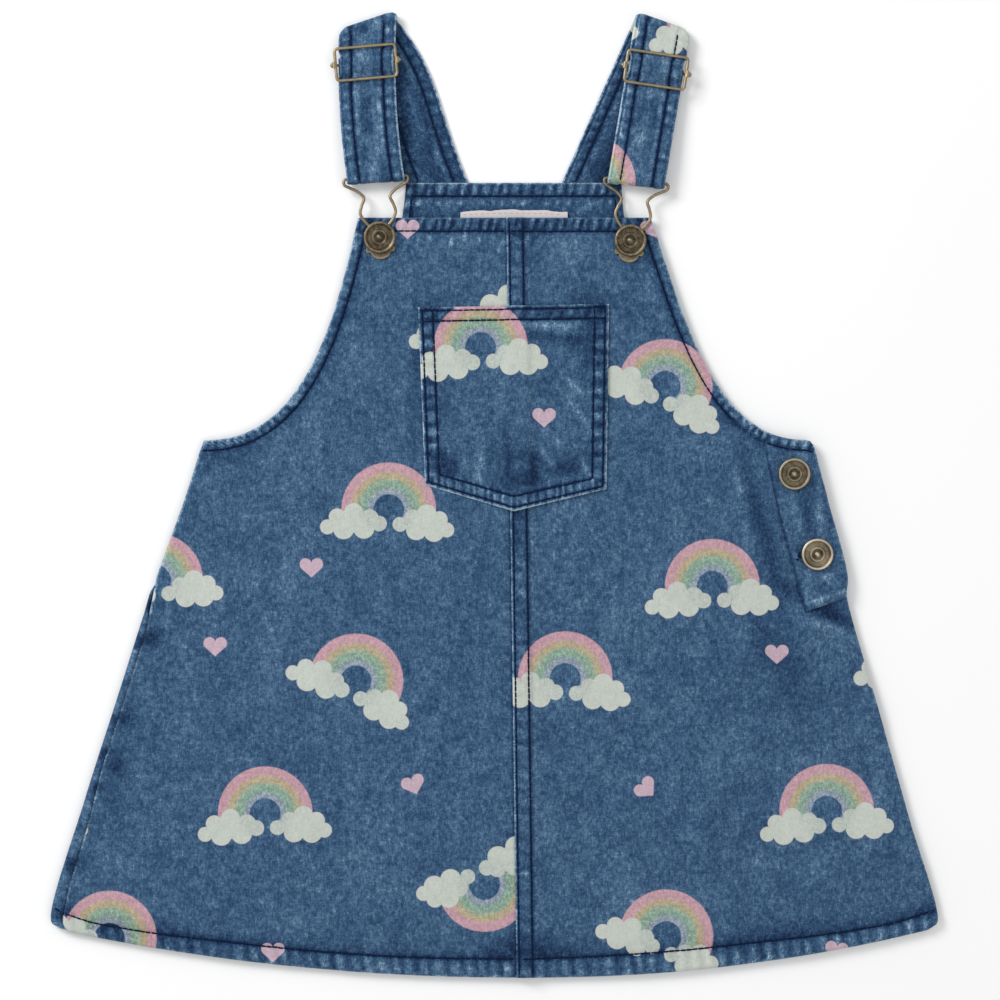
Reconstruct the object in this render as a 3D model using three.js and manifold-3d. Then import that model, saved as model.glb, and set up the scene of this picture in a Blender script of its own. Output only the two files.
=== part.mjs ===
import * as THREE from 'three';
import { mergeVertices } from 'three/addons/utils/BufferGeometryUtils.js';
import Module from 'manifold-3d';

// A child's denim pinafore dress lying flat, front up. Millimetres, +Z up, bib towards +Y.
// The origin is on the surface that it lies on, below the middle of its outline.
const wasm = await Module();
wasm.setup();

// Cloth
const cloth = 1.2;
const turned = 2.0;
const gap = 0.3;
const frontTop = 4.8;
const turnedEdge = 6.5;
const edgeRound = 1.2;
const edgeDrop = 0.6;
const rimDrop = 0.4;

// Skirt and bib
const hemMiddleY = -251.6;
const hemDepth = 10;
const waistSeamY = 8;
const bibTopY = 143.8;
const bibHem = 7;
const backTopY = 162.2;
const backInset = 1;
const seamSpan = { topX: 6.6, topY: 144, bottomX: 12.7, bottomY: -251 };
const lapWidth = 9;
const lapSlope = 2;
const lapRise = cloth + gap;

// Side seam at the left, where the back rolls over onto the front
const rollRadius = frontTop / 2;
const besideRoll = 0.8;
const rollLip = 0.4;
const wrapWidths = [
  { y: -240, width: 6.5 },
  { y: -171, width: 5 },
  { y: -142, width: 3.2 },
  { y: -69, width: 3.2 },
  { y: -45, width: 0 },
];

// Sides from the hem up to the underarm
const leftSide = [
  { x: -228.6, y: -226.3 },
  { x: -230.9, y: -221.5 },
  { x: -213.2, y: -159.1 },
  { x: -196.6, y: -107.1 },
  { x: -179.9, y: -55.1 },
  { x: -161.2, y: -3.1 },
  { x: -151.3, y: 28.1 },
];
const rightSide = [
  { x: 228.6, y: -226.3 },
  { x: 230.9, y: -221.5 },
  { x: 216.3, y: -169.5 },
  { x: 198.6, y: -107.1 },
  { x: 185.4, y: -61.4 },
  { x: 183.4, y: -52 },
  { x: 184, y: -43 },
  { x: 173.7, y: -3.1 },
  { x: 165.5, y: 28.5 },
];

// Armholes as cubic curves: underarm, two pulls, top
const armholes = {
  frontLeft: [[-151.3, 28.1], [-97.4, 26.5], [-81.7, 95.4], [-70.7, bibTopY]],
  frontRight: [[165.5, 28.5], [114, 23.9], [97.8, 97], [81.4, bibTopY]],
  backLeft: [[-151.3, 28.1], [-92, 25], [-52, 92], [-46.9, backTopY]],
  backRight: [[165.5, 28.5], [108, 24], [69, 96], [67.5, backTopY]],
};

// Soft folds in the front, the deepest fanning out below the button band
const folds = [
  { x: 168, y: -67, turn: 25, length: 34, width: 5, height: 1.5 },
  { x: 158, y: -80, turn: 48, length: 52, width: 9, height: 1.1 },
  { x: 140, y: -30, turn: 75, length: 90, width: 9, height: 0.9 },
  { x: 196, y: -118, turn: 60, length: 60, width: 10, height: 0.8 },
  { x: -128, y: -6, turn: 65, length: 80, width: 14, height: 0.9 },
  { x: -120, y: -160, turn: 74, length: 150, width: 17, height: 0.8 },
  { x: 110, y: -180, turn: 100, length: 130, width: 16, height: 0.8 },
];

// Patch pocket
const pocketOutline = {
  left: { x: -39.4, topY: 97, bottomX: -35.9, bottomY: 4.8 },
  right: { x: 59.8, topY: 98.8, bottomX: 58.5, bottomY: 2.6 },
  pointY: -9,
  pointX: 10.2,
};
const pocketRim = 1;
const pocketHem = 9;
const pocketLap = [-3.2, -0.7, lapWidth + 1, lapWidth + 3.5];

// Buttonhole band at the right side opening, by its inner line from bottom to top
const bandLine = [
  { x: 161.6, y: -61.4 },
  { x: 154.9, y: -37.2 },
  { x: 147.9, y: -10.7 },
  { x: 144.6, y: 4.7 },
  { x: 139.4, y: 31 },
];
const bandBottomRight = { x: 183.6, y: -53.6 };
const bandGap = 0.55;
const bandInset = 0.4;

// Neck label
const label = { left: -17.5, right: 38.3, topY: 147, depth: 34, thickness: 1 };

// Straps, sliders, hooks and buttons
const strapWidth = 30;
const strapCloth = 1.8;
const strapRunHeight = 5.2;
const strapReturnHeight = 3.05;
const strapEase = 0.2;
const strapBulge = { rise: 1.95, reach: 6.5 };
const strapPinch = { inset: 1.1, reach: 6 };
const slider = { width: 33, depth: 18.2, wire: 1.5, bevel: 0.4, corner: 2.4, height: 7.15, barDrop: 2 };
const sliderNub = { radius: 1.6, out: 0.8, drop: 0.9, stretch: 1.2 };
const hookWire = 1.6;
const hookBarHeight = 5.175;
const hookBarAlong = 31.5;
const plateDepth = 1;
const buttonRadius = 8.3;
const bibPost = 1.9;
const sidePost = 0.6;
const sideButtonGap = 0.4;
const straps = {
  left: {
    fold: { x: -65.7, y: 243.9, turn: 18.5 },
    backEnd: { x: -30, y: 162.55 },
    bow: -4,
    backBow: 6,
    slider: { x: -66.6, y: 224.1, turn: 5 },
    button: { x: -59.4, y: 133.3, turn: 4 },
  },
  right: {
    fold: { x: 87.7, y: 243.3, turn: -19.6 },
    backEnd: { x: 51.9, y: 162.55 },
    bow: 0,
    backBow: 0,
    slider: { x: 84.2, y: 220.4, turn: -8.4 },
    button: { x: 70.8, y: 131.7, turn: -6 },
  },
};
const sideButtons = {
  upper: { x: 155.9, y: 10.4 },
  lower: { x: 167.8, y: -31.3 },
};

const denim = { color: 0x42688c, roughness: 0.9, metalness: 0 };
const darkDenim = { color: 0x3a5c80, roughness: 0.92, metalness: 0 };
const tape = { color: 0xd9cfca, roughness: 0.85, metalness: 0 };
const brass = { color: 0x8f7a52, roughness: 0.42, metalness: 0.9 };

const dress = new THREE.Group();

const rad = THREE.MathUtils.degToRad;
const mix = THREE.MathUtils.lerp;
const clamp = THREE.MathUtils.clamp;
const smooth = THREE.MathUtils.smoothstep;

function addPiece(name, geometry, look) {
  const mesh = new THREE.Mesh(geometry, new THREE.MeshStandardMaterial(look));
  mesh.name = name;
  dress.add(mesh);
}

// A closed wall of cloth between two grids of points, the upper one seen first from above
function wall(upper, lower) {
  const rows = upper.length;
  const columns = upper[0].length;
  const positions = [...upper.flat(), ...lower.flat()].flatMap((point) => point.toArray());
  const at = (face, row, column) => (face * rows + row) * columns + column;
  const index = [];
  for (let row = 0; row < rows - 1; row += 1) {
    for (let column = 0; column < columns - 1; column += 1) {
      const [a, b] = [at(0, row, column), at(0, row, column + 1)];
      const [c, d] = [at(0, row + 1, column + 1), at(0, row + 1, column)];
      index.push(a, b, c, a, c, d);
      const [e, f] = [at(1, row, column), at(1, row, column + 1)];
      const [g, h] = [at(1, row + 1, column + 1), at(1, row + 1, column)];
      index.push(e, g, f, e, h, g);
    }
  }
  const rim = [];
  for (let column = 0; column < columns - 1; column += 1) rim.push([0, column]);
  for (let row = 0; row < rows - 1; row += 1) rim.push([row, columns - 1]);
  for (let column = columns - 1; column > 0; column -= 1) rim.push([rows - 1, column]);
  for (let row = rows - 1; row > 0; row -= 1) rim.push([row, 0]);
  rim.forEach(([row, column], place) => {
    const [nextRow, nextColumn] = rim[(place + 1) % rim.length];
    const [a, b] = [at(1, row, column), at(1, nextRow, nextColumn)];
    const [c, d] = [at(0, nextRow, nextColumn), at(0, row, column)];
    index.push(a, b, c, a, c, d);
  });
  const geometry = new THREE.BufferGeometry();
  geometry.setAttribute('position', new THREE.Float32BufferAttribute(positions, 3));
  geometry.setIndex(index);
  return geometry;
}

// Straight lines between the rows of a table, read at one value of a named column
function readTable(table, key, value, column) {
  const rows = [...table].sort((a, b) => a[key] - b[key]);
  const next = rows.findIndex((row) => row[key] >= value);
  if (next === -1) return rows[rows.length - 1][column];
  if (next === 0) return rows[0][column];
  const [low, high] = [rows[next - 1], rows[next]];
  return mix(low[column], high[column], (value - low[key]) / (high[key] - low[key]));
}

function seamX(y) {
  const { topX, topY, bottomX, bottomY } = seamSpan;
  return mix(bottomX, topX, (y - bottomY) / (topY - bottomY));
}

// Height of the front's outer face, without the lap of the centre seam
function frontHeight(x, y) {
  let height = frontTop;
  for (const fold of folds) {
    const angle = rad(fold.turn);
    const along = (x - fold.x) * Math.cos(angle) + (y - fold.y) * Math.sin(angle);
    const across = (y - fold.y) * Math.cos(angle) - (x - fold.x) * Math.sin(angle);
    const fade = clamp(1 - Math.abs(along) / (fold.length / 2), 0, 1);
    height += fold.height * Math.exp(-((across / fold.width) ** 2)) * fade * fade * (3 - 2 * fade);
  }
  return height;
}

// Rows of a half panel: places along its side, then along its armhole
const sideLength = 258;
const armholeLength = 146;
const stepRun = 0.8;
const hemRows = [0, edgeRound, hemDepth - stepRun, hemDepth + stepRun].map((y) => y / sideLength);
const sideRows = Array.from({ length: 14 }, (_, row) => mix(0.09, 0.955, row / 13));
const armholeRows = [0, 0.07, 0.15, 0.24, 0.34, 0.45, 0.56, 0.67, 0.78, 0.87];
const topRows = [bibHem + stepRun, bibHem - stepRun, edgeRound, 0].map((y) => 1 - y / armholeLength);
const cornerShare = 0.12;
const levelFrom = 0.8;
const levelBy = 0.99;
const earlyClimb = 0.35;

function curveThrough(points) {
  return new THREE.CatmullRomCurve3(points.map(({ x, y }) => new THREE.Vector3(x, y, 0)), false, 'centripetal');
}

function cubic(points) {
  return new THREE.CubicBezierCurve3(...points.map(([x, y]) => new THREE.Vector3(x, y, 0)));
}

// Each row: a point on the edge, the way in from it, and the height at which it meets the seam
function halfRows(side, armhole, topY) {
  const sideCurve = curveThrough(side);
  const armholeCurve = cubic(armhole);
  const rightHand = Math.sign(side[0].x);
  const underarmY = armhole[0][1];
  const rows = [];
  for (const t of [...hemRows, ...sideRows]) {
    const edge = sideCurve.getPointAt(t);
    const seamY = mix(hemMiddleY, waistSeamY, t);
    const slope = (2 * (edge.y - seamY)) / (edge.x - seamX(seamY));
    const inward = new THREE.Vector3(-rightHand, -rightHand * slope, 0).normalize();
    rows.push({ edge, inward, seamY });
  }
  for (const t of [...armholeRows, ...topRows]) {
    const edge = armholeCurve.getPoint(t);
    const tangent = armholeCurve.getTangent(t);
    const normal = new THREE.Vector3(-rightHand * Math.abs(tangent.y), -Math.abs(tangent.x), 0);
    const corner = new THREE.Vector3(-rightHand, -1, 0);
    const level = new THREE.Vector3(-rightHand, 0, 0);
    const inward = normal.lerp(corner, clamp(1 - t / cornerShare, 0, 1)).normalize();
    inward.lerp(level, smooth(t, levelFrom, levelBy)).normalize();
    const climb = mix((edge.y - underarmY) / (topY - underarmY), t, earlyClimb);
    rows.push({ edge, inward, seamY: mix(waistSeamY, topY, climb) });
  }
  return rows;
}

// A point of a row: at a distance in from the edge, then a share of the way on to a line beside the seam
function rowPoint(row, distance, share = 0, beside = 0) {
  const start = row.edge.clone().addScaledVector(row.inward, distance);
  if (share <= 0) return start;
  const endX = seamX(row.seamY) + beside;
  const y = row.seamY + (start.y - row.seamY) * (1 - share) ** 2;
  return new THREE.Vector3(mix(start.x, endX, share), y, 0);
}

function leftWrap(y) {
  return y > waistSeamY ? 0 : readTable(wrapWidths, 'y', y, 'width');
}

const frontShares = Array.from({ length: 9 }, (_, column) => (column + 1) / 10);
const turnedColumns = 3;
const lapColumns = 13;

// Front half: the outer face, its wall doubled at the hems and at the turned armhole edge
function frontHalf(side, armhole, seamColumns, wrapAt, lift) {
  const rows = halfRows(side, armhole, bibTopY);
  const last = rows.length - 1;
  const upper = [];
  const lower = [];
  rows.forEach((row, number) => {
    const wrap = wrapAt(row.edge.y);
    const start = wrap > 0 ? wrap + besideRoll : 0;
    const insets = [0, edgeRound, turnedEdge - edgeDrop, turnedEdge + stepRun].map((inset) => start + inset);
    const points = insets.map((distance) => rowPoint(row, distance));
    frontShares.forEach((share) => points.push(rowPoint(row, insets[3], share, seamColumns[0])));
    const seam = rowPoint(row, insets[3], 1);
    seamColumns.forEach((offset) => points.push(new THREE.Vector3(seam.x + offset, seam.y, 0)));
    const isHemRow = number < 3 || number > last - 3;
    const rounded = number === 0 || number === last ? 0.5 : 0;
    upper.push(points.map((point, column) => {
      const drop = Math.max(column === 0 ? edgeDrop : 0, rounded);
      const height = frontHeight(point.x, point.y) + lift(column) - drop;
      return new THREE.Vector3(point.x, point.y, height);
    }));
    lower.push(points.map((point, column) => {
      const doubled = column < turnedColumns || (isHemRow && column < lapColumns);
      const thickness = doubled ? turned : cloth;
      const height = frontHeight(point.x, point.y) + Math.max(lift(column), 0) - thickness;
      return new THREE.Vector3(point.x, point.y, height);
    }));
  });
  return { upper, lower };
}

function mirrorOrder({ upper, lower }) {
  const turn = (rows) => rows.map((row) => [...row].reverse());
  return { upper: turn(upper), lower: turn(lower) };
}

const leftSeamColumns = [-1.5, lapWidth - 1];
const rightSeamColumns = [lapWidth + lapSlope, lapWidth, 0.8, 0];

function buildFronts() {
  const none = () => 0;
  const left = frontHalf(leftSide, armholes.frontLeft, leftSeamColumns, leftWrap, none);
  addPiece('front_left', wall(left.upper, left.lower), denim);
  const lapLift = (column) => ({ 14: lapRise, 15: lapRise, 16: lapRise - gap }[column] ?? 0);
  const right = mirrorOrder(frontHalf(rightSide, armholes.frontRight, rightSeamColumns, none, lapLift));
  addPiece('front_right', wall(right.upper, right.lower), denim);
}

// Pairs of points, inner then outer, from the lip of the back's roll down to the surface
function rollPairs(row, wrap) {
  const rollSteps = 6;
  const innerRadius = rollRadius - cloth;
  const share = clamp(wrap / rollRadius, 0, 1);
  const foot = mix(edgeRound + 0.2, rollRadius, share);
  const reach = Math.PI * Math.min(wrap, rollRadius) + Math.max(wrap - rollRadius, 0) + rollLip;
  const pairs = [];
  for (let step = rollSteps; step > 0; step -= 1) {
    const length = (reach * step) / rollSteps;
    const angle = Math.min(length / rollRadius, Math.PI);
    const straight = Math.max(length - Math.PI * rollRadius, 0);
    const outer = rowPoint(row, foot - rollRadius * Math.sin(angle) + straight);
    const inner = rowPoint(row, foot - innerRadius * Math.sin(angle) + straight);
    outer.z = rollRadius * (1 - Math.cos(angle));
    inner.z = rollRadius - innerRadius * Math.cos(angle);
    pairs.push([inner, outer]);
  }
  return { pairs, foot };
}

// Back: flat on the surface, rolled over onto the front at the left below the waist
function buildBack() {
  const leftRows = halfRows(leftSide, armholes.backLeft, backTopY);
  const rightRows = halfRows(rightSide, armholes.backRight, backTopY);
  const last = leftRows.length - 1;
  const upper = [];
  const lower = [];
  leftRows.forEach((row, number) => {
    const other = rightRows[number];
    const isTop = number > last - 3;
    const isArmhole = row.edge.y > armholes.backLeft[0][1];
    const plain = isTop ? turned : cloth;
    const edged = isTop || isArmhole ? turned : cloth;
    const { pairs, foot } = rollPairs(row, leftWrap(row.edge.y));
    const put = (point, thickness) => {
      pairs.push([point.clone().setZ(thickness), point]);
    };
    put(rowPoint(row, foot + 0.3), cloth);
    put(rowPoint(row, foot + 1.2), edged);
    put(rowPoint(row, foot + 4.4), edged);
    put(rowPoint(row, foot + 5.4), plain);
    for (const share of [0.25, 0.5, 0.75, 1]) put(rowPoint(row, foot + 5.4, share), plain);
    for (const share of [0.75, 0.5, 0.25]) put(rowPoint(other, 7, share), plain);
    put(rowPoint(other, 7), plain);
    put(rowPoint(other, 6), edged);
    put(rowPoint(other, backInset), edged);
    const hemInset = number === 0 ? backInset : 0;
    pairs.flat().forEach((point) => {
      point.y += hemInset;
    });
    upper.push(pairs.map(([inner]) => inner));
    lower.push(pairs.map(([, outer]) => outer));
  });
  addPiece('back', wall(upper, lower), darkDenim);
}

// Pocket: over the bib, its underside clear of the raised lap of the centre seam
function buildPocket() {
  const { left, right, pointX, pointY } = pocketOutline;
  const rowShares = [0, 0.015, 0.08, 0.1, 0.3, 0.5, 0.7, 0.9, 0.925, 0.99, 1];
  const upper = [];
  const lower = [];
  rowShares.forEach((share, number) => {
    const leftX = mix(left.bottomX, left.x, share);
    const rightX = mix(right.bottomX, right.x, share);
    const leftY = mix(left.bottomY, left.topY, share);
    const rightY = mix(right.bottomY, right.topY, share);
    const middleY = mix(pointY, (left.topY + right.topY) / 2, share);
    const seam = seamX(middleY);
    const lap = pocketLap.map((offset) => seam + offset);
    const leftHemX = leftX + pocketHem;
    const rightHemX = rightX - pocketHem;
    const xs = [leftX, leftX + pocketRim, leftHemX, (leftHemX + lap[0]) / 2, ...lap];
    xs.push((lap[3] + rightHemX) / 2, rightHemX, rightX - pocketRim, rightX);
    const isRim = number === 0 || number === rowShares.length - 1;
    const points = xs.map((x) => {
      const toward = x < pointX ? (x - leftX) / (pointX - leftX) : (rightX - x) / (rightX - pointX);
      return new THREE.Vector3(x, mix(x < pointX ? leftY : rightY, middleY, toward), 0);
    });
    const lapAt = (column) => (column === 5 || column === 6 ? lapRise : 0);
    const dropAt = (column) => (isRim || column === 0 || column === points.length - 1 ? rimDrop : 0);
    lower.push(points.map((point, column) => {
      const height = frontHeight(point.x, point.y) + gap + lapAt(column);
      return new THREE.Vector3(point.x, point.y, height);
    }));
    upper.push(points.map((point, column) => {
      const height = frontHeight(point.x, point.y) + gap + cloth + lapAt(column) - dropAt(column);
      return new THREE.Vector3(point.x, point.y, height);
    }));
  });
  addPiece('pocket', wall(upper, lower), denim);
}

// Buttonhole band: from its inner line to the edge of the side opening
function buildButtonBand() {
  const edge = curveThrough(rightSide);
  const edgeX = (y) => {
    const samples = edge.getPoints(90).filter((point) => point.y > rightSide[2].y);
    return readTable(samples, 'y', y, 'x');
  };
  const armhole = cubic(armholes.frontRight).getPoints(60);
  const rowCount = 9;
  const upper = [];
  const lower = [];
  for (let number = 0; number <= rowCount; number += 1) {
    const share = number / rowCount;
    const innerY = mix(bandLine[0].y, bandLine[4].y, share);
    const innerX = readTable(bandLine, 'y', innerY, 'x');
    const outerY = mix(bandBottomRight.y, rightSide[8].y - bandInset, share);
    const outerX = edgeX(outerY) - bandInset / 2;
    const isRim = number === 0 || number === rowCount;
    const upperRow = [];
    const lowerRow = [];
    [0, 0.04, 0.36, 0.68, 0.96, 1].forEach((part) => {
      const x = mix(innerX, outerX, part);
      const armholeY = readTable(armhole, 'x', x, 'y') - bandInset;
      const y = Math.min(mix(innerY, outerY, part), armholeY);
      const drop = isRim || part === 0 || part === 1 ? rimDrop : 0;
      const height = frontHeight(x, y) + bandGap;
      lowerRow.push(new THREE.Vector3(x, y, height));
      upperRow.push(new THREE.Vector3(x, y, height + cloth - drop));
    });
    upper.push(upperRow);
    lower.push(lowerRow);
  }
  addPiece('button_band', wall(upper, lower), denim);
}

// Bare label on the inside of the back, below its top hem
function buildLabel() {
  const upper = [];
  const lower = [];
  for (const y of [label.topY - label.depth, label.topY]) {
    const xs = [label.left, (label.left + label.right) / 2, label.right];
    lower.push(xs.map((x) => new THREE.Vector3(x, y, cloth + gap)));
    upper.push(xs.map((x) => new THREE.Vector3(x, y, cloth + gap + label.thickness)));
  }
  addPiece('neck_label', wall(upper, lower), tape);
}

function direction(degrees) {
  return new THREE.Vector3(Math.cos(rad(degrees)), Math.sin(rad(degrees)), 0);
}

// A point beside a button: across and along its hook
function besideButton(button, across, along) {
  const u = direction(button.turn);
  const v = direction(button.turn + 90);
  return new THREE.Vector3(button.x, button.y, 0).addScaledVector(u, across).addScaledVector(v, along);
}

const backRunHeight = strapCloth / 2;
const foldRadius = (strapRunHeight - backRunHeight) / 2;
const loopTop = hookBarHeight * 2 - strapReturnHeight;
const loopRadius = (loopTop - strapReturnHeight) / 2;
const frontEndGap = 0.6;

// What the rows of one strap are measured from
function strapFrame(strap) {
  const fold = new THREE.Vector3(strap.fold.x, strap.fold.y, 0);
  const bar = besideButton(strap.button, 0, hookBarAlong);
  const pull = fold.clone().add(bar).multiplyScalar(0.5);
  pull.x += strap.bow;
  const front = new THREE.QuadraticBezierCurve3(fold, pull, bar);
  return {
    fold,
    bar,
    front,
    frontLength: front.getLength(),
    backEnd: new THREE.Vector3(strap.backEnd.x, strap.backEnd.y, 0),
    backBow: strap.backBow,
    foldAcross: direction(strap.fold.turn),
    foldOut: direction(strap.fold.turn + 90),
    barAcross: direction(strap.button.turn),
    barOut: direction(strap.button.turn - 90),
    sliderAcross: direction(strap.slider.turn),
    sliderAt: fold.distanceTo(new THREE.Vector3(strap.slider.x, strap.slider.y, 0)),
  };
}

// A row of a strap: a middle point and half its width as a vector
function strapRow(middle, height, across, halfWidth) {
  const at = new THREE.Vector3(middle.x, middle.y, height);
  return { at, across: across.clone().multiplyScalar(halfWidth) };
}

// Half the width along a line that isn't square to the strap's run
function halfAcross(across, normal) {
  return strapWidth / 2 / Math.abs(across.dot(normal));
}

function frontNormal({ front, frontLength }, length) {
  const tangent = front.getTangentAt(length / frontLength);
  return new THREE.Vector3(-tangent.y, tangent.x, 0);
}

// Up the back in a shallow bow, widest nearer the fold
function backRunRows({ fold, backEnd, backBow, foldAcross }) {
  const level = new THREE.Vector3(1, 0, 0);
  const foldStart = 0.985;
  const bowLean = 1.6;
  const run = fold.clone().sub(backEnd).normalize();
  const normal = new THREE.Vector3(run.y, -run.x, 0);
  return [0, 0.3, 0.5, 0.65, 0.8, 0.92, 1].map((share) => {
    const middle = backEnd.clone().lerp(fold, share * foldStart);
    middle.x += backBow * Math.sin(Math.PI * share ** bowLean);
    const across = level.clone().lerp(foldAcross, share).normalize();
    return strapRow(middle, backRunHeight, across, halfAcross(across, normal));
  });
}

function foldRows(frame) {
  const { fold, foldAcross, foldOut } = frame;
  const half = halfAcross(foldAcross, frontNormal(frame, 0));
  return [20, 50, 80, 110, 140, 165].map((angle) => {
    const middle = fold.clone().addScaledVector(foldOut, foldRadius * Math.sin(rad(angle)));
    return strapRow(middle, backRunHeight + foldRadius * (1 - Math.cos(rad(angle))), foldAcross, half);
  });
}

// Down the front, raised over the slider's bar and pinched inside its frame
function frontRunRows(frame) {
  const { front, frontLength, foldAcross, sliderAcross, barAcross, sliderAt } = frame;
  const reach = 9;
  const steps = [-reach, -6.5, -4.5, -2.5, 0, 2.5, 4.5, 6.5, reach, 24, 40];
  const lengths = [1.5, ...steps.map((step) => sliderAt + step), frontLength - frontEndGap];
  return lengths.map((length) => {
    const near = Math.abs(length - sliderAt);
    const bulge = strapBulge.rise * Math.cos((Math.PI * near) / (2 * strapBulge.reach)) ** 2;
    const raise = near < strapBulge.reach ? bulge : 0;
    const climb = smooth(length, sliderAt + reach, frontLength - 2) * (loopTop - strapRunHeight);
    const across = foldAcross.clone().lerp(sliderAcross, smooth(length, 0, sliderAt - reach));
    across.lerp(barAcross, smooth(length, sliderAt + 20, frontLength)).normalize();
    const half = halfAcross(across, frontNormal(frame, length));
    const squeeze = near < strapPinch.reach ? strapPinch.inset : strapEase;
    const middle = front.getPointAt(length / frontLength);
    return strapRow(middle, strapRunHeight + raise + climb, across, half - squeeze);
  });
}

// Round the hook's bar, then back up below the front run to the slider
function loopRows(frame) {
  const { bar, front, frontLength, barAcross, barOut, sliderAt } = frame;
  const turns = [25, 55, 90, 125, 155].map((angle) => {
    const middle = bar.clone().addScaledVector(barOut, loopRadius * Math.sin(rad(angle)));
    return strapRow(middle, hookBarHeight + loopRadius * Math.cos(rad(angle)), barAcross, strapWidth / 2);
  });
  const lengths = [frontLength - frontEndGap, sliderAt + 30, sliderAt + 10, sliderAt - 2.5];
  const returns = lengths.map((length) => {
    const across = barAcross.clone().lerp(frontNormal(frame, length), smooth(frontLength - length, 0, 30));
    const middle = front.getPointAt(length / frontLength);
    return strapRow(middle, strapReturnHeight, across.normalize(), strapWidth / 2 - strapEase);
  });
  return [...turns, ...returns];
}

// Strap: a ribbon of rows up the back, over the fold, down the front and round the hook's bar
function buildStrap(name, strap) {
  const frame = strapFrame(strap);
  const rows = [backRunRows, foldRows, frontRunRows, loopRows].flatMap((part) => part(frame));
  const columns = [-1, -0.6, 0, 0.6, 1];
  const upper = [];
  const lower = [];
  rows.forEach(({ at, across }, number) => {
    const before = rows[Math.max(number - 1, 0)].at;
    const after = rows[Math.min(number + 1, rows.length - 1)].at;
    const along = after.clone().sub(before).normalize();
    const normal = across.clone().normalize().cross(along).normalize();
    const point = (column, side) => at.clone().addScaledVector(across, column)
      .addScaledVector(normal, (side * strapCloth) / 2);
    upper.push(columns.map((column) => point(column, 1)));
    lower.push(columns.map((column) => point(column, -1)));
  });
  addPiece(name, wall(upper, lower), denim);
}

// Solids for joining and cutting, and back again
function toSolid(geometry) {
  const plain = geometry.clone();
  plain.deleteAttribute('normal');
  plain.deleteAttribute('uv');
  const merged = mergeVertices(plain, 1e-4);
  const vertProperties = new Float32Array(merged.attributes.position.array);
  const triVerts = new Uint32Array(merged.index.array);
  return new wasm.Manifold(new wasm.Mesh({ numProp: 3, vertProperties, triVerts }));
}

function toGeometry(solid) {
  const mesh = solid.getMesh();
  const geometry = new THREE.BufferGeometry();
  geometry.setAttribute('position', new THREE.BufferAttribute(new Float32Array(mesh.vertProperties), 3));
  geometry.setIndex(new THREE.BufferAttribute(new Uint32Array(mesh.triVerts), 1));
  return geometry;
}

function roundedOutline(path, width, depth, corner) {
  const [w, d] = [width / 2, depth / 2];
  path.moveTo(-w + corner, -d);
  path.lineTo(w - corner, -d);
  path.absarc(w - corner, -d + corner, corner, -Math.PI / 2, 0);
  path.lineTo(w, d - corner);
  path.absarc(w - corner, d - corner, corner, 0, Math.PI / 2);
  path.lineTo(-w + corner, d);
  path.absarc(-w + corner, d - corner, corner, Math.PI / 2, Math.PI);
  path.lineTo(-w, -d + corner);
  path.absarc(-w + corner, -d + corner, corner, Math.PI, 1.5 * Math.PI);
  return path;
}

// Slider: a wire frame over the strap and a centre bar below it, with a nub at each end of the bar
function buildSlider(name, place) {
  const { width, depth, wire, bevel, corner, height, barDrop } = slider;
  const inner = wire - bevel;
  const shape = roundedOutline(new THREE.Shape(), width - 2 * bevel, depth - 2 * bevel, corner - bevel);
  const hole = roundedOutline(new THREE.Path(), width - 2 * inner, depth - 2 * inner, corner - inner);
  shape.holes.push(hole);
  const frame = new THREE.ExtrudeGeometry(shape, {
    depth: wire - 2 * bevel, bevelThickness: bevel, bevelSize: bevel, bevelSegments: 1, curveSegments: 4,
  });
  frame.translate(0, 0, height - wire / 2 + bevel);
  const nubX = width / 2 + sliderNub.out;
  const bar = new THREE.CylinderGeometry(wire / 2, wire / 2, 2 * nubX, 8);
  bar.rotateZ(Math.PI / 2);
  bar.translate(0, 0, height - barDrop);
  let solid = toSolid(frame).add(toSolid(bar));
  for (const side of [-1, 1]) {
    const knob = new THREE.SphereGeometry(sliderNub.radius, 10, 6);
    knob.scale(1, 1, sliderNub.stretch);
    knob.translate(side * nubX, 0, height - sliderNub.drop);
    solid = solid.add(toSolid(knob));
  }
  const geometry = toGeometry(solid);
  geometry.rotateZ(rad(place.turn));
  geometry.translate(place.x, place.y, 0);
  addPiece(name, geometry, brass);
}

// Bib hook: bent wire from behind the button up to the bar in the strap's loop
const hookBends = [
  { across: 4.7, along: 6, height: 5.9 },
  { across: 7.6, along: 9.4, height: 5.9 },
  { across: 9.2, along: 13, height: 5.9 },
  { across: 8.2, along: 17.2, height: 5.8 },
  { across: 6.8, along: 21, height: 5.5 },
  { across: 9.4, along: 24.2, height: 5.3 },
  { across: 14, along: 26.9, height: hookBarHeight },
  { across: 16.4, along: 28.4, height: hookBarHeight },
  { across: 16.6, along: 30.6, height: hookBarHeight },
  { across: 15, along: hookBarAlong, height: hookBarHeight },
  { across: 8, along: hookBarAlong, height: hookBarHeight },
];

// Right half of the stamped plate behind the button, from its top to the curve at its foot
const plateCorners = [
  { x: 6, y: 6.5 },
  { x: 6.6, y: -4 },
  { x: 7.8, y: -6.2 },
  { x: 7, y: -7.6 },
  { x: 5.2, y: -7.4 },
];
const plateFoot = { x: 4.6, y: -12.6 };
const plateHole = 3;

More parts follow.
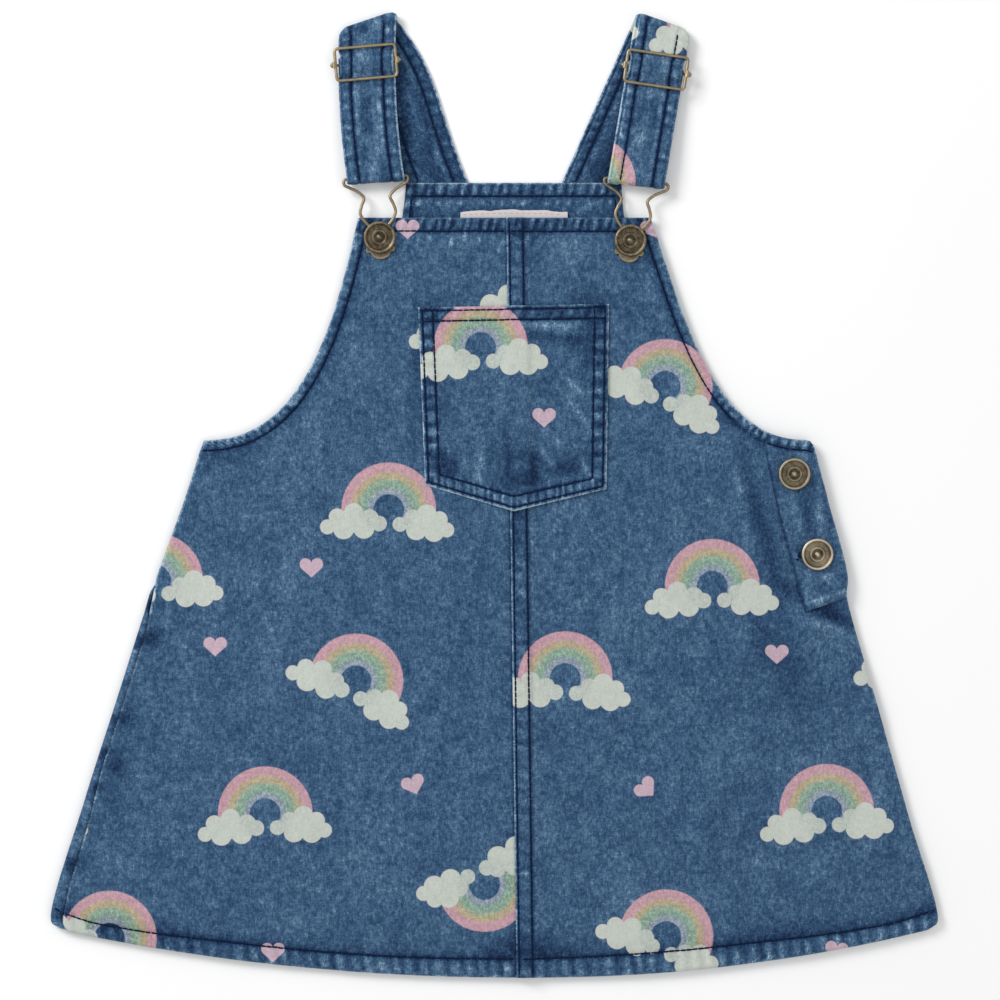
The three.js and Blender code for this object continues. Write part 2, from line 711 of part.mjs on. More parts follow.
function hookPlate() {
  const plate = new THREE.Shape();
  const [first, ...rest] = plateCorners;
  const end = rest[rest.length - 1];
  plate.moveTo(-first.x, first.y);
  plate.lineTo(first.x, first.y);
  rest.forEach(({ x, y }) => plate.lineTo(x, y));
  plate.bezierCurveTo(plateFoot.x, plateFoot.y, -plateFoot.x, plateFoot.y, -end.x, end.y);
  rest.slice(0, -1).reverse().forEach(({ x, y }) => plate.lineTo(-x, y));
  plate.holes.push(new THREE.Path().absarc(0, 0, plateHole, 0, 2 * Math.PI));
  const stamped = new THREE.ExtrudeGeometry(plate, {
    depth: plateDepth, bevelEnabled: false, curveSegments: 6,
  });
  return stamped.translate(0, 0, frontTop + gap);
}

function buildHook(name, button) {
  const right = hookBends.map(({ across, along, height }) => new THREE.Vector3(across, along, height));
  const left = right.map(({ x, y, z }) => new THREE.Vector3(-x, y, z)).reverse();
  const path = new THREE.CatmullRomCurve3([...right, ...left], false, 'centripetal');
  const section = new THREE.Shape().absarc(0, 0, hookWire / 2, 0, 2 * Math.PI);
  const wire = new THREE.ExtrudeGeometry(section, {
    steps: 56, extrudePath: path, bevelEnabled: false, curveSegments: 4,
  });
  const geometry = toGeometry(toSolid(wire).add(toSolid(hookPlate())));
  geometry.rotateZ(rad(button.turn));
  geometry.translate(button.x, button.y, 0);
  addPiece(name, geometry, brass);
}

// Head of a tack button, by radius and height above its post: a rim, a sunk ring and a raised middle
const buttonHead = [
  { radius: buttonRadius - 1, height: 0 },
  { radius: buttonRadius, height: 0.8 },
  { radius: buttonRadius - 0.2, height: 1.6 },
  { radius: buttonRadius - 0.9, height: 1.9 },
  { radius: buttonRadius - 1.7, height: 1.3 },
  { radius: 4.8, height: 1.1 },
  { radius: 4.1, height: 1.6 },
  { radius: 3, height: 1.5 },
  { radius: 2.4, height: 1.1 },
  { radius: 1.2, height: 1.5 },
  { radius: 0, height: 2.2 },
];
const postRadius = 2.4;

function buildButton(name, place, base, post) {
  const head = buttonHead.map(({ radius, height }) => new THREE.Vector2(radius, post + height));
  const foot = [[0, 0], [postRadius, 0], [postRadius, post]].map(([x, y]) => new THREE.Vector2(x, y));
  const geometry = new THREE.LatheGeometry([...foot, ...head], 20);
  geometry.rotateX(Math.PI / 2);
  geometry.translate(place.x, place.y, base);
  addPiece(name, mergeVertices(geometry.deleteAttribute('uv').deleteAttribute('normal'), 1e-4), brass);
}

buildBack();
buildFronts();
buildPocket();
buildButtonBand();
buildLabel();
for (const [side, strap] of Object.entries(straps)) {
  buildStrap(`strap_${side}`, strap);
  buildSlider(`slider_${side}`, strap.slider);
  buildHook(`hook_${side}`, strap.button);
  buildButton(`bib_button_${side}`, strap.button, frontTop + gap, bibPost);
}
for (const [level, place] of Object.entries(sideButtons)) {
  const bandTop = frontHeight(place.x, place.y) + bandGap + cloth;
  buildButton(`side_button_${level}`, place, bandTop + sideButtonGap, sidePost);
}

export default dress;
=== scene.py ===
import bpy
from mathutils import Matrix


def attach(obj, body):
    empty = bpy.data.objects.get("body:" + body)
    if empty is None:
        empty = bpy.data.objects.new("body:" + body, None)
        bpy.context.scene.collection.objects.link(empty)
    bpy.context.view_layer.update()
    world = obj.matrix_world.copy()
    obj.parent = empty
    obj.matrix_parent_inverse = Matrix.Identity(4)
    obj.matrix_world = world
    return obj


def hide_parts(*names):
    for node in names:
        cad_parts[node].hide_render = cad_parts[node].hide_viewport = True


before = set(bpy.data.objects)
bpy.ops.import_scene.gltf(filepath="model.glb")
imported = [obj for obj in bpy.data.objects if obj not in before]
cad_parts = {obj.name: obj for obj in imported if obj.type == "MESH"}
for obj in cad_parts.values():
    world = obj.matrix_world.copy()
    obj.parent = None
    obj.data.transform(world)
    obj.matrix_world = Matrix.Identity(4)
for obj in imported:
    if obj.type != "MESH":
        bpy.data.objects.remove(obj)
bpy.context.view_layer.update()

import math
import bpy
import numpy as np
from mathutils import Vector
from mathutils.bvhtree import BVHTree

mm = 0.001

dressSizes = {
    "frontTop": 4.8,       # height of the front's face over the table
    "cloth": 1.2,
    "turned": 2.0,
    "hemMiddleY": -251.6,
    "waistY": 8.0,
    "bibTopY": 143.8,
    "backTopY": 162.2,
    "lapRise": 1.5,        # of the felled seam down the middle
    "seamTop": (6.4, 144.0),
    "seamBottom": (11.7, -251.0),
    "rollRadius": 2.4,
}

leftSide = [(-228.6, -226.3), (-230.9, -221.5), (-213.2, -159.1), (-196.6, -107.1),
            (-179.9, -55.1), (-161.2, -3.1), (-151.3, 28.1)]
rightSide = [(228.6, -226.3), (230.9, -221.5), (216.3, -169.5), (198.6, -107.1), (185.4, -61.4),
             (183.4, -52.0), (184.0, -43.0), (173.7, -3.1), (165.5, 28.5)]
seamRows = {"armhole": 5.3, "lap": (1.5, 8.4)}  # stitch lines in from the edge
armholes = {
    "frontLeft": [(-151.3, 28.1), (-97.4, 26.5), (-81.7, 95.4), (-70.7, 143.8)],
    "frontRight": [(165.5, 28.5), (114.0, 23.9), (97.8, 97.0), (81.4, 143.8)],
    "backLeft": [(-151.3, 28.1), (-92.0, 25.0), (-52.0, 92.0), (-46.9, 162.2)],
    "backRight": [(165.5, 28.5), (108.0, 24.0), (69.0, 96.0), (67.5, 162.2)],
}
wrapTable = {"y": [-240, -171, -142, -69, -45], "width": [6.5, 5.0, 3.2, 3.2, 0.0]}

# x, y, turn in degrees, length, width, strength: where the cloth is painted darker, for darker dye and for
# painted shade under the band's end, in fold troughs and in the side seam's dimples; and where it is painted
# paler, for worn-off dye and for painted light on the fold ridges near the band
darkDyeAndShadePatches = [
    (16, -236, 0, 34, 14, 0.75), (-178, -229, -9, 70, 12, 0.35), (150, -228, 9, 110, 13, 0.30),
    (12, -15, 88, 34, 8, 0.55), (159, -50, -20, 26, 9, 0.5), (172, -60, -28, 30, 7, 0.75),
    (146, -88, -64, 62, 13, 0.42), (139, -18, -75, 80, 9, 0.6), (15, 136, 0, 30, 10, 0.4),
    (154, -84, -60, 44, 10, 0.35), (176, -63, -20, 26, 8, 0.55), (-138, 19, 20, 26, 8, 0.4),
    (-30, 100, 0, 22, 12, 0.3), (50, 100, 0, 26, 12, 0.45), (-41, 60, 88, 80, 5, 0.3),
    (-178, -76, 70, 12, 10, 0.7), (-192, -118, 70, 14, 11, 0.5), (-196, -141, 72, 12, 9, 0.6),
    (-199, -160, 72, 14, 9, 0.4), (150, 22, -10, 30, 8, 0.4),
]
paleWashAndLightPatches = [
    (-59, 131, 80, 16, 12, 0.25), (-18, 129, 85, 18, 14, 0.15), (35, 128, 85, 18, 12, 0.15),
    (-100, 20, 60, 60, 20, 0.15), (-60, -190, 80, 70, 22, 0.15), (70, -60, 70, 60, 22, 0.12),
    (-110, -60, 75, 70, 20, 0.14), (66, -200, 90, 60, 26, 0.12), (200, -150, 75, 80, 14, 0.2),
    (175, -69.5, -22, 36, 3.5, 0.5), (186, -83, -35, 30, 5, 0.25), (128, 2, -75, 40, 6, 0.3),
]
softFolds = [  # x, y, turn in degrees, length, width, height
    (168, -67, 25, 34, 5, 1.5), (158, -80, 48, 52, 9, 1.1), (140, -30, 75, 90, 9, 0.9),
    (196, -118, 60, 60, 10, 0.8), (-128, -6, 65, 80, 14, 0.9), (-120, -160, 74, 150, 17, 0.8),
    (110, -180, 100, 130, 16, 0.8),
]


# curves and small noise

def alongCurve(points, count):  # centripetal spline through the points, evenly spaced
    p = np.array(points, float)
    p = np.vstack([2 * p[0] - p[1], p, 2 * p[-1] - p[-2]])
    dense = []
    for k in range(1, len(p) - 2):
        a, b, c, d = p[k - 1], p[k], p[k + 1], p[k + 2]
        t0 = 0.0
        t1 = t0 + max(np.linalg.norm(b - a), 1e-6) ** 0.5
        t2 = t1 + max(np.linalg.norm(c - b), 1e-6) ** 0.5
        t3 = t2 + max(np.linalg.norm(d - c), 1e-6) ** 0.5
        t = np.linspace(t1, t2, 120, endpoint=False)[:, None]
        ab = (t1 - t) / (t1 - t0) * a + (t - t0) / (t1 - t0) * b
        bc = (t2 - t) / (t2 - t1) * b + (t - t1) / (t2 - t1) * c
        cd = (t3 - t) / (t3 - t2) * c + (t - t2) / (t3 - t2) * d
        abc = (t2 - t) / (t2 - t0) * ab + (t - t0) / (t2 - t0) * bc
        bcd = (t3 - t) / (t3 - t1) * bc + (t - t1) / (t3 - t1) * cd
        dense.append((t2 - t) / (t2 - t1) * abc + (t - t1) / (t2 - t1) * bcd)
    dense = np.vstack(dense + [p[-2][None]])
    return resample(dense, count)


def resample(line, count):
    steps = lengthAlong(line)
    at = count if isinstance(count, np.ndarray) else np.linspace(0, 1, count)
    return np.stack([np.interp(at * steps[-1], steps, line[:, k]) for k in range(line.shape[1])], 1)


def lengthAlong(line):  # how far each point is from the start
    return np.r_[0, np.cumsum(np.linalg.norm(np.diff(line, axis=0), axis=1))]


def lineLength(line):
    return float(lengthAlong(line)[-1])


def unitRows(rows):
    return rows / np.linalg.norm(rows, axis=1)[:, None]


def cubic(points, t):
    a, b, c, d = [np.array(q, float) for q in points]
    t = np.asarray(t, float)[:, None]
    place = (1 - t) ** 3 * a + 3 * (1 - t) ** 2 * t * b + 3 * (1 - t) * t * t * c + t ** 3 * d
    slope = 3 * (1 - t) ** 2 * (b - a) + 6 * (1 - t) * t * (c - b) + 3 * t * t * (d - c)
    return place, unitRows(slope)


def ease(x, low, high):
    t = np.clip((np.asarray(x, float) - low) / (high - low), 0, 1)
    return t * t * (3 - 2 * t)


def fadeOut(x, low, high):
    return 1 - ease(x, low, high)


def strip(x, start, full, fade, end):  # 1 between full and fade, soft on both sides
    return ease(x, start, full) * fadeOut(x, fade, end)


def waver(s, size, seed, octaves=3):  # smooth noise along one length, about -1 to 1
    local = np.random.default_rng(seed)
    total = np.zeros_like(np.asarray(s, float))
    for k in range(octaves):
        for _ in range(3):
            pitch = size / (1.9 ** k) * local.uniform(0.7, 1.5)
            total += np.sin(2 * np.pi * s / pitch + local.uniform(0, 7)) * 0.45 * 0.7 ** k
    return total / 1.6


def mottle(x, y, size, seed):  # smooth noise over an area
    local = np.random.default_rng(seed)
    total = np.zeros_like(x)
    for _ in range(9):
        turn = local.uniform(0, np.pi)
        pitch = size * local.uniform(0.6, 1.8)
        total += np.sin(2 * np.pi * (x * np.cos(turn) + y * np.sin(turn)) / pitch + local.uniform(0, 7))
    return total / 3.4


def pucker(s, pitch, seed, slant=0.0):  # uneven ridges along a seam, about -1 to 1
    drift = waver(s, pitch * 7, seed) * 1.3
    strength = 0.72 + 0.4 * waver(s, pitch * 4, seed + 1)
    return np.sin(2 * np.pi * (s + slant) / pitch + drift) * np.clip(strength, 0.15, 1.2)


def rubbed(rope):  # the tops of a seam's ridges, worn with clear ends
    return ease(rope, 0.0, 0.75)


def bump(d, middle, width):
    return np.exp(-((d - middle) / width) ** 2)


def hemCurve(x):
    return dressSizes["hemMiddleY"] + 4.7e-4 * x ** 2 + 0.3


def hemLift(x):  # how high above the hem's edge its stitches run
    return 9.5 - 1.7 * ease(np.abs(x), 120, 205) + 1.9 * ease(np.abs(x), 206, 228)


def nearLine(line, x, y):  # how far each point is from a line, and how far along it lies
    dense = resample(line, int(lineLength(line) / 0.4))
    nearest, along = np.full(x.shape, 1e9), np.zeros(x.shape)
    for number, (lineX, lineY) in enumerate(dense):
        away = np.hypot(x - lineX, y - lineY)
        closer = away < nearest
        nearest[closer], along[closer] = away[closer], number * 0.4
    return nearest, along


def seamX(y):
    (topX, topY), (lowX, lowY) = dressSizes["seamTop"], dressSizes["seamBottom"]
    return lowX + (topX - lowX) * (y - lowY) / (topY - lowY)


def foldHeight(x, y):
    height = np.zeros_like(x)
    for foldX, foldY, turn, length, width, rise in softFolds:
        c, s = math.cos(math.radians(turn)), math.sin(math.radians(turn))
        along = (x - foldX) * c + (y - foldY) * s
        across = (y - foldY) * c - (x - foldX) * s
        fade = np.clip(1 - np.abs(along) / (length / 2), 0, 1)
        height += rise * np.exp(-(across / width) ** 2) * fade * fade * (3 - 2 * fade)
    return height


def softCorner(x, y, corner, toward, depth=1.3, reach=2.3):  # draws a sharp corner in a little
    share = depth * np.exp(-(np.hypot(x - corner[0], y - corner[1]) / reach) ** 2)
    return x + toward[0] * share, y + toward[1] * share


def patches(table, x, y):
    total = np.zeros_like(x)
    for placeX, placeY, turn, length, width, strong in table:
        c, s = math.cos(math.radians(turn)), math.sin(math.radians(turn))
        along, across = (x - placeX) * c + (y - placeY) * s, (y - placeY) * c - (x - placeX) * s
        total += strong * np.exp(-(along / length * 2) ** 2 - (across / width * 2) ** 2)
    return total


# meshes

def newMesh(name, points, faces, look, smooth=True, wear=None, cloth=None, printed=False):
    mesh = bpy.data.meshes.new(name)
    mesh.from_pydata((np.asarray(points, float) * mm).tolist(), [], [list(map(int, f)) for f in faces])
    mesh.update()
    if smooth:
        mesh.polygons.foreach_set("use_smooth", [True] * len(mesh.polygons))
        mesh.set_sharp_from_angle(angle=math.radians(55))
    piece = bpy.data.objects.new(name, mesh)
    bpy.context.scene.collection.objects.link(piece)
    mesh.materials.append(look)
    corner = np.empty(len(mesh.loops), np.int32)
    mesh.loops.foreach_get("vertex_index", corner)
    if wear is not None:  # pale, dark, inside, rubbed edge
        layer = mesh.color_attributes.new("wear", "FLOAT_COLOR", "POINT")
        layer.data.foreach_set("color", np.asarray(wear, np.float32).ravel())
    if cloth is not None:  # the place on the cloth in cm, for the weave
        grain = mesh.uv_layers.new(name="grain")
        grain.data.foreach_set("uv", (np.asarray(cloth, np.float32)[corner] * 0.1).ravel())
    if printed:
        motifPlaces(mesh, np.asarray(points, float), corner)
    return piece


def wallFaces(rows, columns):
    i, j = np.meshgrid(np.arange(rows - 1), np.arange(columns - 1), indexing="ij")
    a = (i * columns + j).ravel()
    b, c, d, n = a + 1, a + columns + 1, a + columns, rows * columns
    top = np.stack([a, b, c, d], 1)
    under = np.stack([a + n, d + n, c + n, b + n], 1)
    rim = np.concatenate([np.arange(columns - 1), np.arange(rows - 1) * columns + columns - 1,
                          (rows - 1) * columns + np.arange(columns - 1, 0, -1),
                          np.arange(rows - 1, 0, -1) * columns])
    after = np.roll(rim, -1)
    side = np.stack([rim + n, after + n, after, rim], 1)
    return np.concatenate([top, under, side])


def clothWall(name, upper, lower, look, pale, dark, grain, printed=False,
              inside=None, edge=None, below=None):
    count = upper.shape[0] * upper.shape[1]
    points = np.concatenate([upper.reshape(-1, 3), lower.reshape(-1, 3)])
    wear = np.zeros((2 * count, 4), np.float32)
    edge = np.zeros_like(pale) if edge is None else edge
    for column, layer in ((0, pale), (1, dark), (3, edge)):
        wear[:count, column] = np.clip(layer, 0, 1).ravel()
    if below is None:  # the wrong side is bare of wear, and keeps the edge's own
        wear[count:, 2] = 1 if inside is None else inside.ravel()
        wear[count:, 3] = wear[:count, 3]
    else:
        for column, layer in zip((0, 1, 3), below):
            wear[count:, column] = np.clip(layer, 0, 1).ravel()
    cloth = np.concatenate([grain.reshape(-1, 2), grain.reshape(-1, 2)])
    return newMesh(name, points, wallFaces(*upper.shape[:2]), look, wear=wear, cloth=cloth, printed=printed)


# print: each face takes the nearest motif and keeps its own place within it, in cm

rainbows = [  # x, y, turn
    (89, 56, -25), (113.5, -48, 0), (37, -96, -4), (173, -165, 2), (89.4, -230.3, -24),
    (222, -85, 0), (-8.8, 84, 204), (-54.8, -8.2, -3.5), (-176, -45, 4), (-71.8, -97.2, -26.5),
    (-119, -166.2, 0), (-5, -203, 204),
    (-200, -231, -28), (-246, -166, 0),
]
hearts = [
    (-45, 138, 0), (-95, -38, 0), (-145, -79, 0), (147, -83, 0), (-42, -151, 20), (79, -153, 45),
    (-115, -238, 0), (178, -237.4, -10), (82.4, 138.5, 20),
]
pocketMotifs = {"rainbows": [(-7, 76, 2.5)], "hearts": [(26, 40, 0)]}
strapMotifs = {"rainbows": [(114.5, 246.5, 5), (48.9, 161.7, -14), (40.2, 248.5, 0)], "hearts": []}
strapBackMotifs = {"rainbows": [(86.8, 255.8, 0)], "hearts": []}
heartShift = 500.0


def motifPlaces(mesh, points, corner):
    chosen = {"pocket": pocketMotifs, "strap": strapMotifs}
    kind = next((chosen[key] for key in chosen if mesh.name.startswith(key)), None)
    motifs = [(x, y, t, 0.0) for x, y, t in (kind["rainbows"] if kind else rainbows)]
    motifs += [(x, y, t, heartShift) for x, y, t in (kind["hearts"] if kind else hearts)]
    starts = np.empty(len(mesh.polygons), np.int32)
    sizes = np.empty(len(mesh.polygons), np.int32)
    mesh.polygons.foreach_get("loop_start", starts)
    mesh.polygons.foreach_get("loop_total", sizes)
    middle = np.add.reduceat(points[corner][:, :2], starts) / sizes[:, None]
    best = np.full(len(middle), 1e9)
    chosenMotif = np.zeros(len(middle), int)
    side = middle[:, 0] > seamX(middle[:, 1])
    if kind is strapMotifs:
        onBack = np.add.reduceat(points[corner][:, 2], starts) / sizes < 2.4
        motifs += [(x, y, t, 0.0) for x, y, t in strapBackMotifs["rainbows"]]
    for number, (x, y, turn, shift) in enumerate(motifs):
        reach = np.hypot(middle[:, 0] - x, middle[:, 1] - y) - (0 if shift else 24)
        if kind is strapMotifs:
            reach = np.where(onBack == (number >= len(strapMotifs["rainbows"])), reach, 1e6)
        if kind is None:  # a motif stays on its own panel and is cut at the seam
            ownSide = x > seamX(y)
            reach = np.where(side == ownSide, reach, 1e6)
        closer = reach < best
        best[closer] = reach[closer]
        chosenMotif[closer] = number
    perCorner = np.repeat(chosenMotif, sizes)
    table = np.array(motifs)
    offset = points[corner][:, :2] - table[perCorner, :2]
    turn = np.radians(table[perCorner, 2])
    local = np.stack([offset[:, 0] * np.cos(turn) + offset[:, 1] * np.sin(turn),
                      offset[:, 1] * np.cos(turn) - offset[:, 0] * np.sin(turn)], 1)
    local[:, 0] += table[perCorner, 3]
    layer = mesh.uv_layers.new(name="motif")
    layer.data.foreach_set("uv", (local * 0.1).astype(np.float32).ravel())


# materials

def newLook(name):
    look = bpy.data.materials.new(name)
    look.use_nodes = True
    tree = look.node_tree
    shader = tree.nodes["Principled BSDF"]
    return look, tree, shader


def mathNode(tree, kind, a, b=None, c=None):
    node = tree.nodes.new("ShaderNodeMath")
    node.operation = kind
    for socket, value in zip(node.inputs, (a, b, c)):
        if value is None:
            continue
        if isinstance(value, (int, float)):
            socket.default_value = value
        else:
            tree.links.new(value, socket)
    return node.outputs[0]


def times(tree, a, b):
    return mathNode(tree, "MULTIPLY", a, b)


def minus(tree, a, b):
    return mathNode(tree, "SUBTRACT", a, b)


def larger(tree, a, b):
    return mathNode(tree, "MAXIMUM", a, b)


def smaller(tree, a, b):
    return mathNode(tree, "MINIMUM", a, b)


def scaleAdd(tree, value, scale, more):
    return mathNode(tree, "MULTIPLY_ADD", value, scale, more)


def addUp(tree, *values):
    total = values[0]
    for value in values[1:]:
        total = mathNode(tree, "ADD", total, value)
    return total


def far(tree, across, up, x=None, y=None):  # how far from the middle, or from x and y
    if x is not None:
        across, up = minus(tree, across, x), minus(tree, up, y)
    return mathNode(tree, "SQRT", addUp(tree, times(tree, across, across), times(tree, up, up)))


def ramp(tree, value, low, high):  # 0 below low, 1 above high, soft between
    node = tree.nodes.new("ShaderNodeMapRange")
    node.interpolation_type = "SMOOTHSTEP"
    tree.links.new(value, node.inputs["Value"])
    node.inputs["From Min"].default_value = low
    node.inputs["From Max"].default_value = high
    return node.outputs["Result"]


def mixColour(tree, share, first, second, kind="MIX"):
    node = tree.nodes.new("ShaderNodeMix")
    node.data_type = "RGBA"
    node.blend_type = kind
    factor, a, b = node.inputs[0], node.inputs[6], node.inputs[7]
    for socket, value in ((factor, share), (a, first), (b, second)):
        if isinstance(value, (int, float)):
            socket.default_value = value
        elif isinstance(value, tuple):
            socket.default_value = (*value, 1.0)
        else:
            tree.links.new(value, socket)
    return node.outputs[2]


def fineNoise(tree, place, stretch, detail=3.0, rough=0.6):
    mapping = tree.nodes.new("ShaderNodeMapping")
    mapping.inputs["Scale"].default_value = stretch
    tree.links.new(place, mapping.inputs["Vector"])
    noise = tree.nodes.new("ShaderNodeTexNoise")
    noise.inputs["Scale"].default_value = 1.0
    noise.inputs["Detail"].default_value = detail
    noise.inputs["Roughness"].default_value = rough
    tree.links.new(mapping.outputs["Vector"], noise.inputs["Vector"])
    return noise.outputs["Fac"]


def colourRamp(tree, value, stops):
    node = tree.nodes.new("ShaderNodeValToRGB")
    while len(node.color_ramp.elements) < len(stops):
        node.color_ramp.elements.new(0.5)
    for element, (at, colour) in zip(node.color_ramp.elements, stops):
        element.position = at
        element.color = (*colour, 1)
    tree.links.new(value, node.inputs["Fac"])
    return node.outputs["Color"]


def uvPlace(tree, name):
    node = tree.nodes.new("ShaderNodeUVMap")
    node.uv_map = name
    return node.outputs["UV"]


def wearAndShadeParts(tree):  # pale, dark, inside and edge, as painted on the mesh
    wear = tree.nodes.new("ShaderNodeVertexColor")
    wear.layer_name = "wear"
    parts = tree.nodes.new("ShaderNodeSeparateColor")
    tree.links.new(wear.outputs["Color"], parts.inputs["Color"])
    return parts.outputs[0], parts.outputs[1], parts.outputs[2], wear.outputs["Alpha"]


def addRelief(tree, shader, height, strength, depth):
    raised = tree.nodes.new("ShaderNodeBump")
    raised.inputs["Strength"].default_value = strength
    raised.inputs["Distance"].default_value = depth
    tree.links.new(height, raised.inputs["Height"])
    tree.links.new(raised.outputs["Normal"], shader.inputs["Normal"])


def setFinish(shader, finish):
    for socket, value in finish.items():
        shader.inputs[socket].default_value = value


denimLook = {
    "tones": [  # from the deepest dye to the palest wear
        (0.00, (0.0040, 0.013, 0.042)), (0.26, (0.0135, 0.040, 0.098)), (0.50, (0.036, 0.089, 0.174)),
        (0.74, (0.100, 0.188, 0.300)), (1.00, (0.36, 0.48, 0.58)),
    ],
    "speckles": [  # per cm across and along, then how strong: grain, warp, weft, then ever broader
        ((13.0, 11.0, 1.0), 0.52), ((6.2, 4.6, 1.0), 0.62), ((17.0, 2.4, 1.0), 0.40),
        ((2.6, 15.0, 1.0), 0.26), ((2.8, 2.0, 1.0), 0.52), ((0.9, 0.6, 1.0), 0.33),
        ((0.33, 0.26, 1.0), 0.18),
    ],
    "base": 0.515,
    "inside": 0.10,         # the wrong side is paler
    "twillPitch": 0.062,    # cm between twill ribs
    "weaveDepth": 0.0004,
    "finish": {"Roughness": 0.9, "Specular IOR Level": 0.12, "Sheen Weight": 0.06, "Sheen Roughness": 0.5},
}
printLook = {
    "pink": (0.60, 0.35, 0.39),
    "tan": (0.52, 0.42, 0.25),
    "green": (0.33, 0.47, 0.325),
    "lilac": (0.37, 0.42, 0.475),
    "cloud": (0.51, 0.55, 0.50),
    "heart": (0.55, 0.405, 0.475),
    "outer": 2.47, "inner": 0.79,   # cm, of the arch
    "bands": [(0.9, "lilac"), (1.02, "lilac"), (1.22, "green"), (1.5, "green"),
              (1.72, "tan"), (1.88, "tan"), (2.08, "pink"), (2.4, "pink")],
    "span": 2.6,
    "cloudRounds": [  # across, up and radius in cm, the left foot's cloud and then the right's
        (-3.12, -1.08, 0.39), (-2.65, -0.53, 0.44), (-1.81, -0.26, 0.50), (-0.95, -0.48, 0.45),
        (-0.46, -0.74, 0.41), (-2.28, -1.12, 0.55), (-1.23, -1.03, 0.55), (-1.79, -0.70, 0.61),
        (0.63, -0.72, 0.39), (1.26, -0.33, 0.42), (1.98, -0.12, 0.52), (2.66, -0.35, 0.44),
        (3.08, -0.86, 0.39), (1.50, -0.95, 0.54), (2.42, -0.98, 0.54), (2.08, -0.62, 0.58),
    ],
}


def motifCover(tree, u, v, fleck):  # how much ink, and its colour
    inner, outer, span = printLook["inner"], printLook["outer"], printLook["span"]
    radius = far(tree, u, v)
    inArch = times(tree, ramp(tree, radius, inner - 0.02, inner + 0.05),
                   ramp(tree, radius, outer + 0.03, outer - 0.05))
    inArch = times(tree, inArch, ramp(tree, v, -0.62, -0.55))
    wobble = scaleAdd(tree, minus(tree, fleck, 0.5), 0.65, radius)
    stops = [(at / span, printLook[band]) for at, band in printLook["bands"]]
    stripes = colourRamp(tree, mathNode(tree, "DIVIDE", wobble, span), stops)
    nearest = None
    for x, y, r in printLook["cloudRounds"]:
        edge = minus(tree, far(tree, u, v, x, y), r)
        nearest = edge if nearest is None else smaller(tree, nearest, edge)
    inCloud = ramp(tree, nearest, 0.03, -0.03)
    heartU = mathNode(tree, "ABSOLUTE", minus(tree, u, heartShift * 0.1))
    lobe = minus(tree, far(tree, heartU, v, 0.30, 0.15), 0.313)
    slant = addUp(tree, times(tree, heartU, 0.666), times(tree, v, -0.746), -0.401)
    point = larger(tree, slant, addUp(tree, v, 0.084))
    between = minus(tree, far(tree, heartU, v), 0.2)
    inHeart = ramp(tree, smaller(tree, smaller(tree, lobe, between), point), 0.03, -0.03)
    cover = larger(tree, larger(tree, inArch, inCloud), inHeart)
    colour = mixColour(tree, inCloud, stripes, printLook["cloud"])
    colour = mixColour(tree, inHeart, colour, printLook["heart"])
    thin = minus(tree, 0.50, addUp(tree, times(tree, inCloud, 0.38), times(tree, inHeart, 0.20),
                                   times(tree, ramp(tree, radius, 1.1, 1.9), 0.24)))
    bare = times(tree, ramp(tree, fleck, 0.66, 0.40), thin)
    return times(tree, cover, minus(tree, 0.97, bare)), colour


def makeDenim(name, printed):
    look, tree, shader = newLook(name)
    grain = uvPlace(tree, "grain")
    pale, dark, inside, edge = wearAndShadeParts(tree)
    grains = [fineNoise(tree, grain, stretch, 2, 0.6) for stretch, strong in denimLook["speckles"]]
    tone = denimLook["base"]
    for speckle, (stretch, strong) in zip(grains, denimLook["speckles"]):
        tone = addUp(tree, tone, times(tree, minus(tree, speckle, 0.5), strong))
    turned = tree.nodes.new("ShaderNodeMapping")
    turned.inputs["Rotation"].default_value = (0, 0, math.radians(62))
    turned.inputs["Scale"].default_value = (1 / denimLook["twillPitch"], 1 / denimLook["twillPitch"], 1)
    tree.links.new(grain, turned.inputs["Vector"])
    ribs = tree.nodes.new("ShaderNodeTexWave")
    setFinish(ribs, {"Scale": 0.32, "Distortion": 1.6, "Detail": 1})
    tree.links.new(turned.outputs["Vector"], ribs.inputs["Vector"])
    tone = addUp(tree, tone, times(tree, minus(tree, ribs.outputs["Fac"], 0.5), 0.12))
    fleck = scaleAdd(tree, minus(tree, grains[0], grains[1]), 0.5, grains[1])
    rough = ramp(tree, addUp(tree, grains[0], grains[1]), 0.72, 1.28)
    # the pale channel brings wear and painted light on fold and crease ridges; the dark channel brings darker
    # dye and painted shade in hollows, creases, dimples and under laps
    wearAndLightPaling = times(tree, pale, scaleAdd(tree, rough, 0.13, 0.29))
    wearAndLightPaling = addUp(tree, wearAndLightPaling, times(tree, edge, scaleAdd(tree, rough, 0.2, 0.38)))
    dyeAndShadeDarkening = times(tree, dark, scaleAdd(tree, rough, -0.10, 0.44))
    worn = minus(tree, addUp(tree, tone, wearAndLightPaling, times(tree, inside, denimLook["inside"])), dyeAndShadeDarkening)
    colour = colourRamp(tree, worn, denimLook["tones"])
    if printed:
        place = tree.nodes.new("ShaderNodeSeparateXYZ")
        tree.links.new(uvPlace(tree, "motif"), place.inputs["Vector"])
        cover, ink = motifCover(tree, place.outputs["X"], place.outputs["Y"], fleck)
        shade = scaleAdd(tree, minus(tree, worn, 0.5), 0.42, 1.0)
        ink = mixColour(tree, 1.0, ink, shade, "MULTIPLY")
        colour = mixColour(tree, times(tree, cover, minus(tree, 1.0, inside)), colour, ink)
    tree.links.new(colour, shader.inputs["Base Color"])
    setFinish(shader, denimLook["finish"])
    relief = addUp(tree, times(tree, ribs.outputs["Fac"], 0.3), grains[0], grains[1])
    addRelief(tree, shader, relief, 0.6, denimLook["weaveDepth"])
    return look


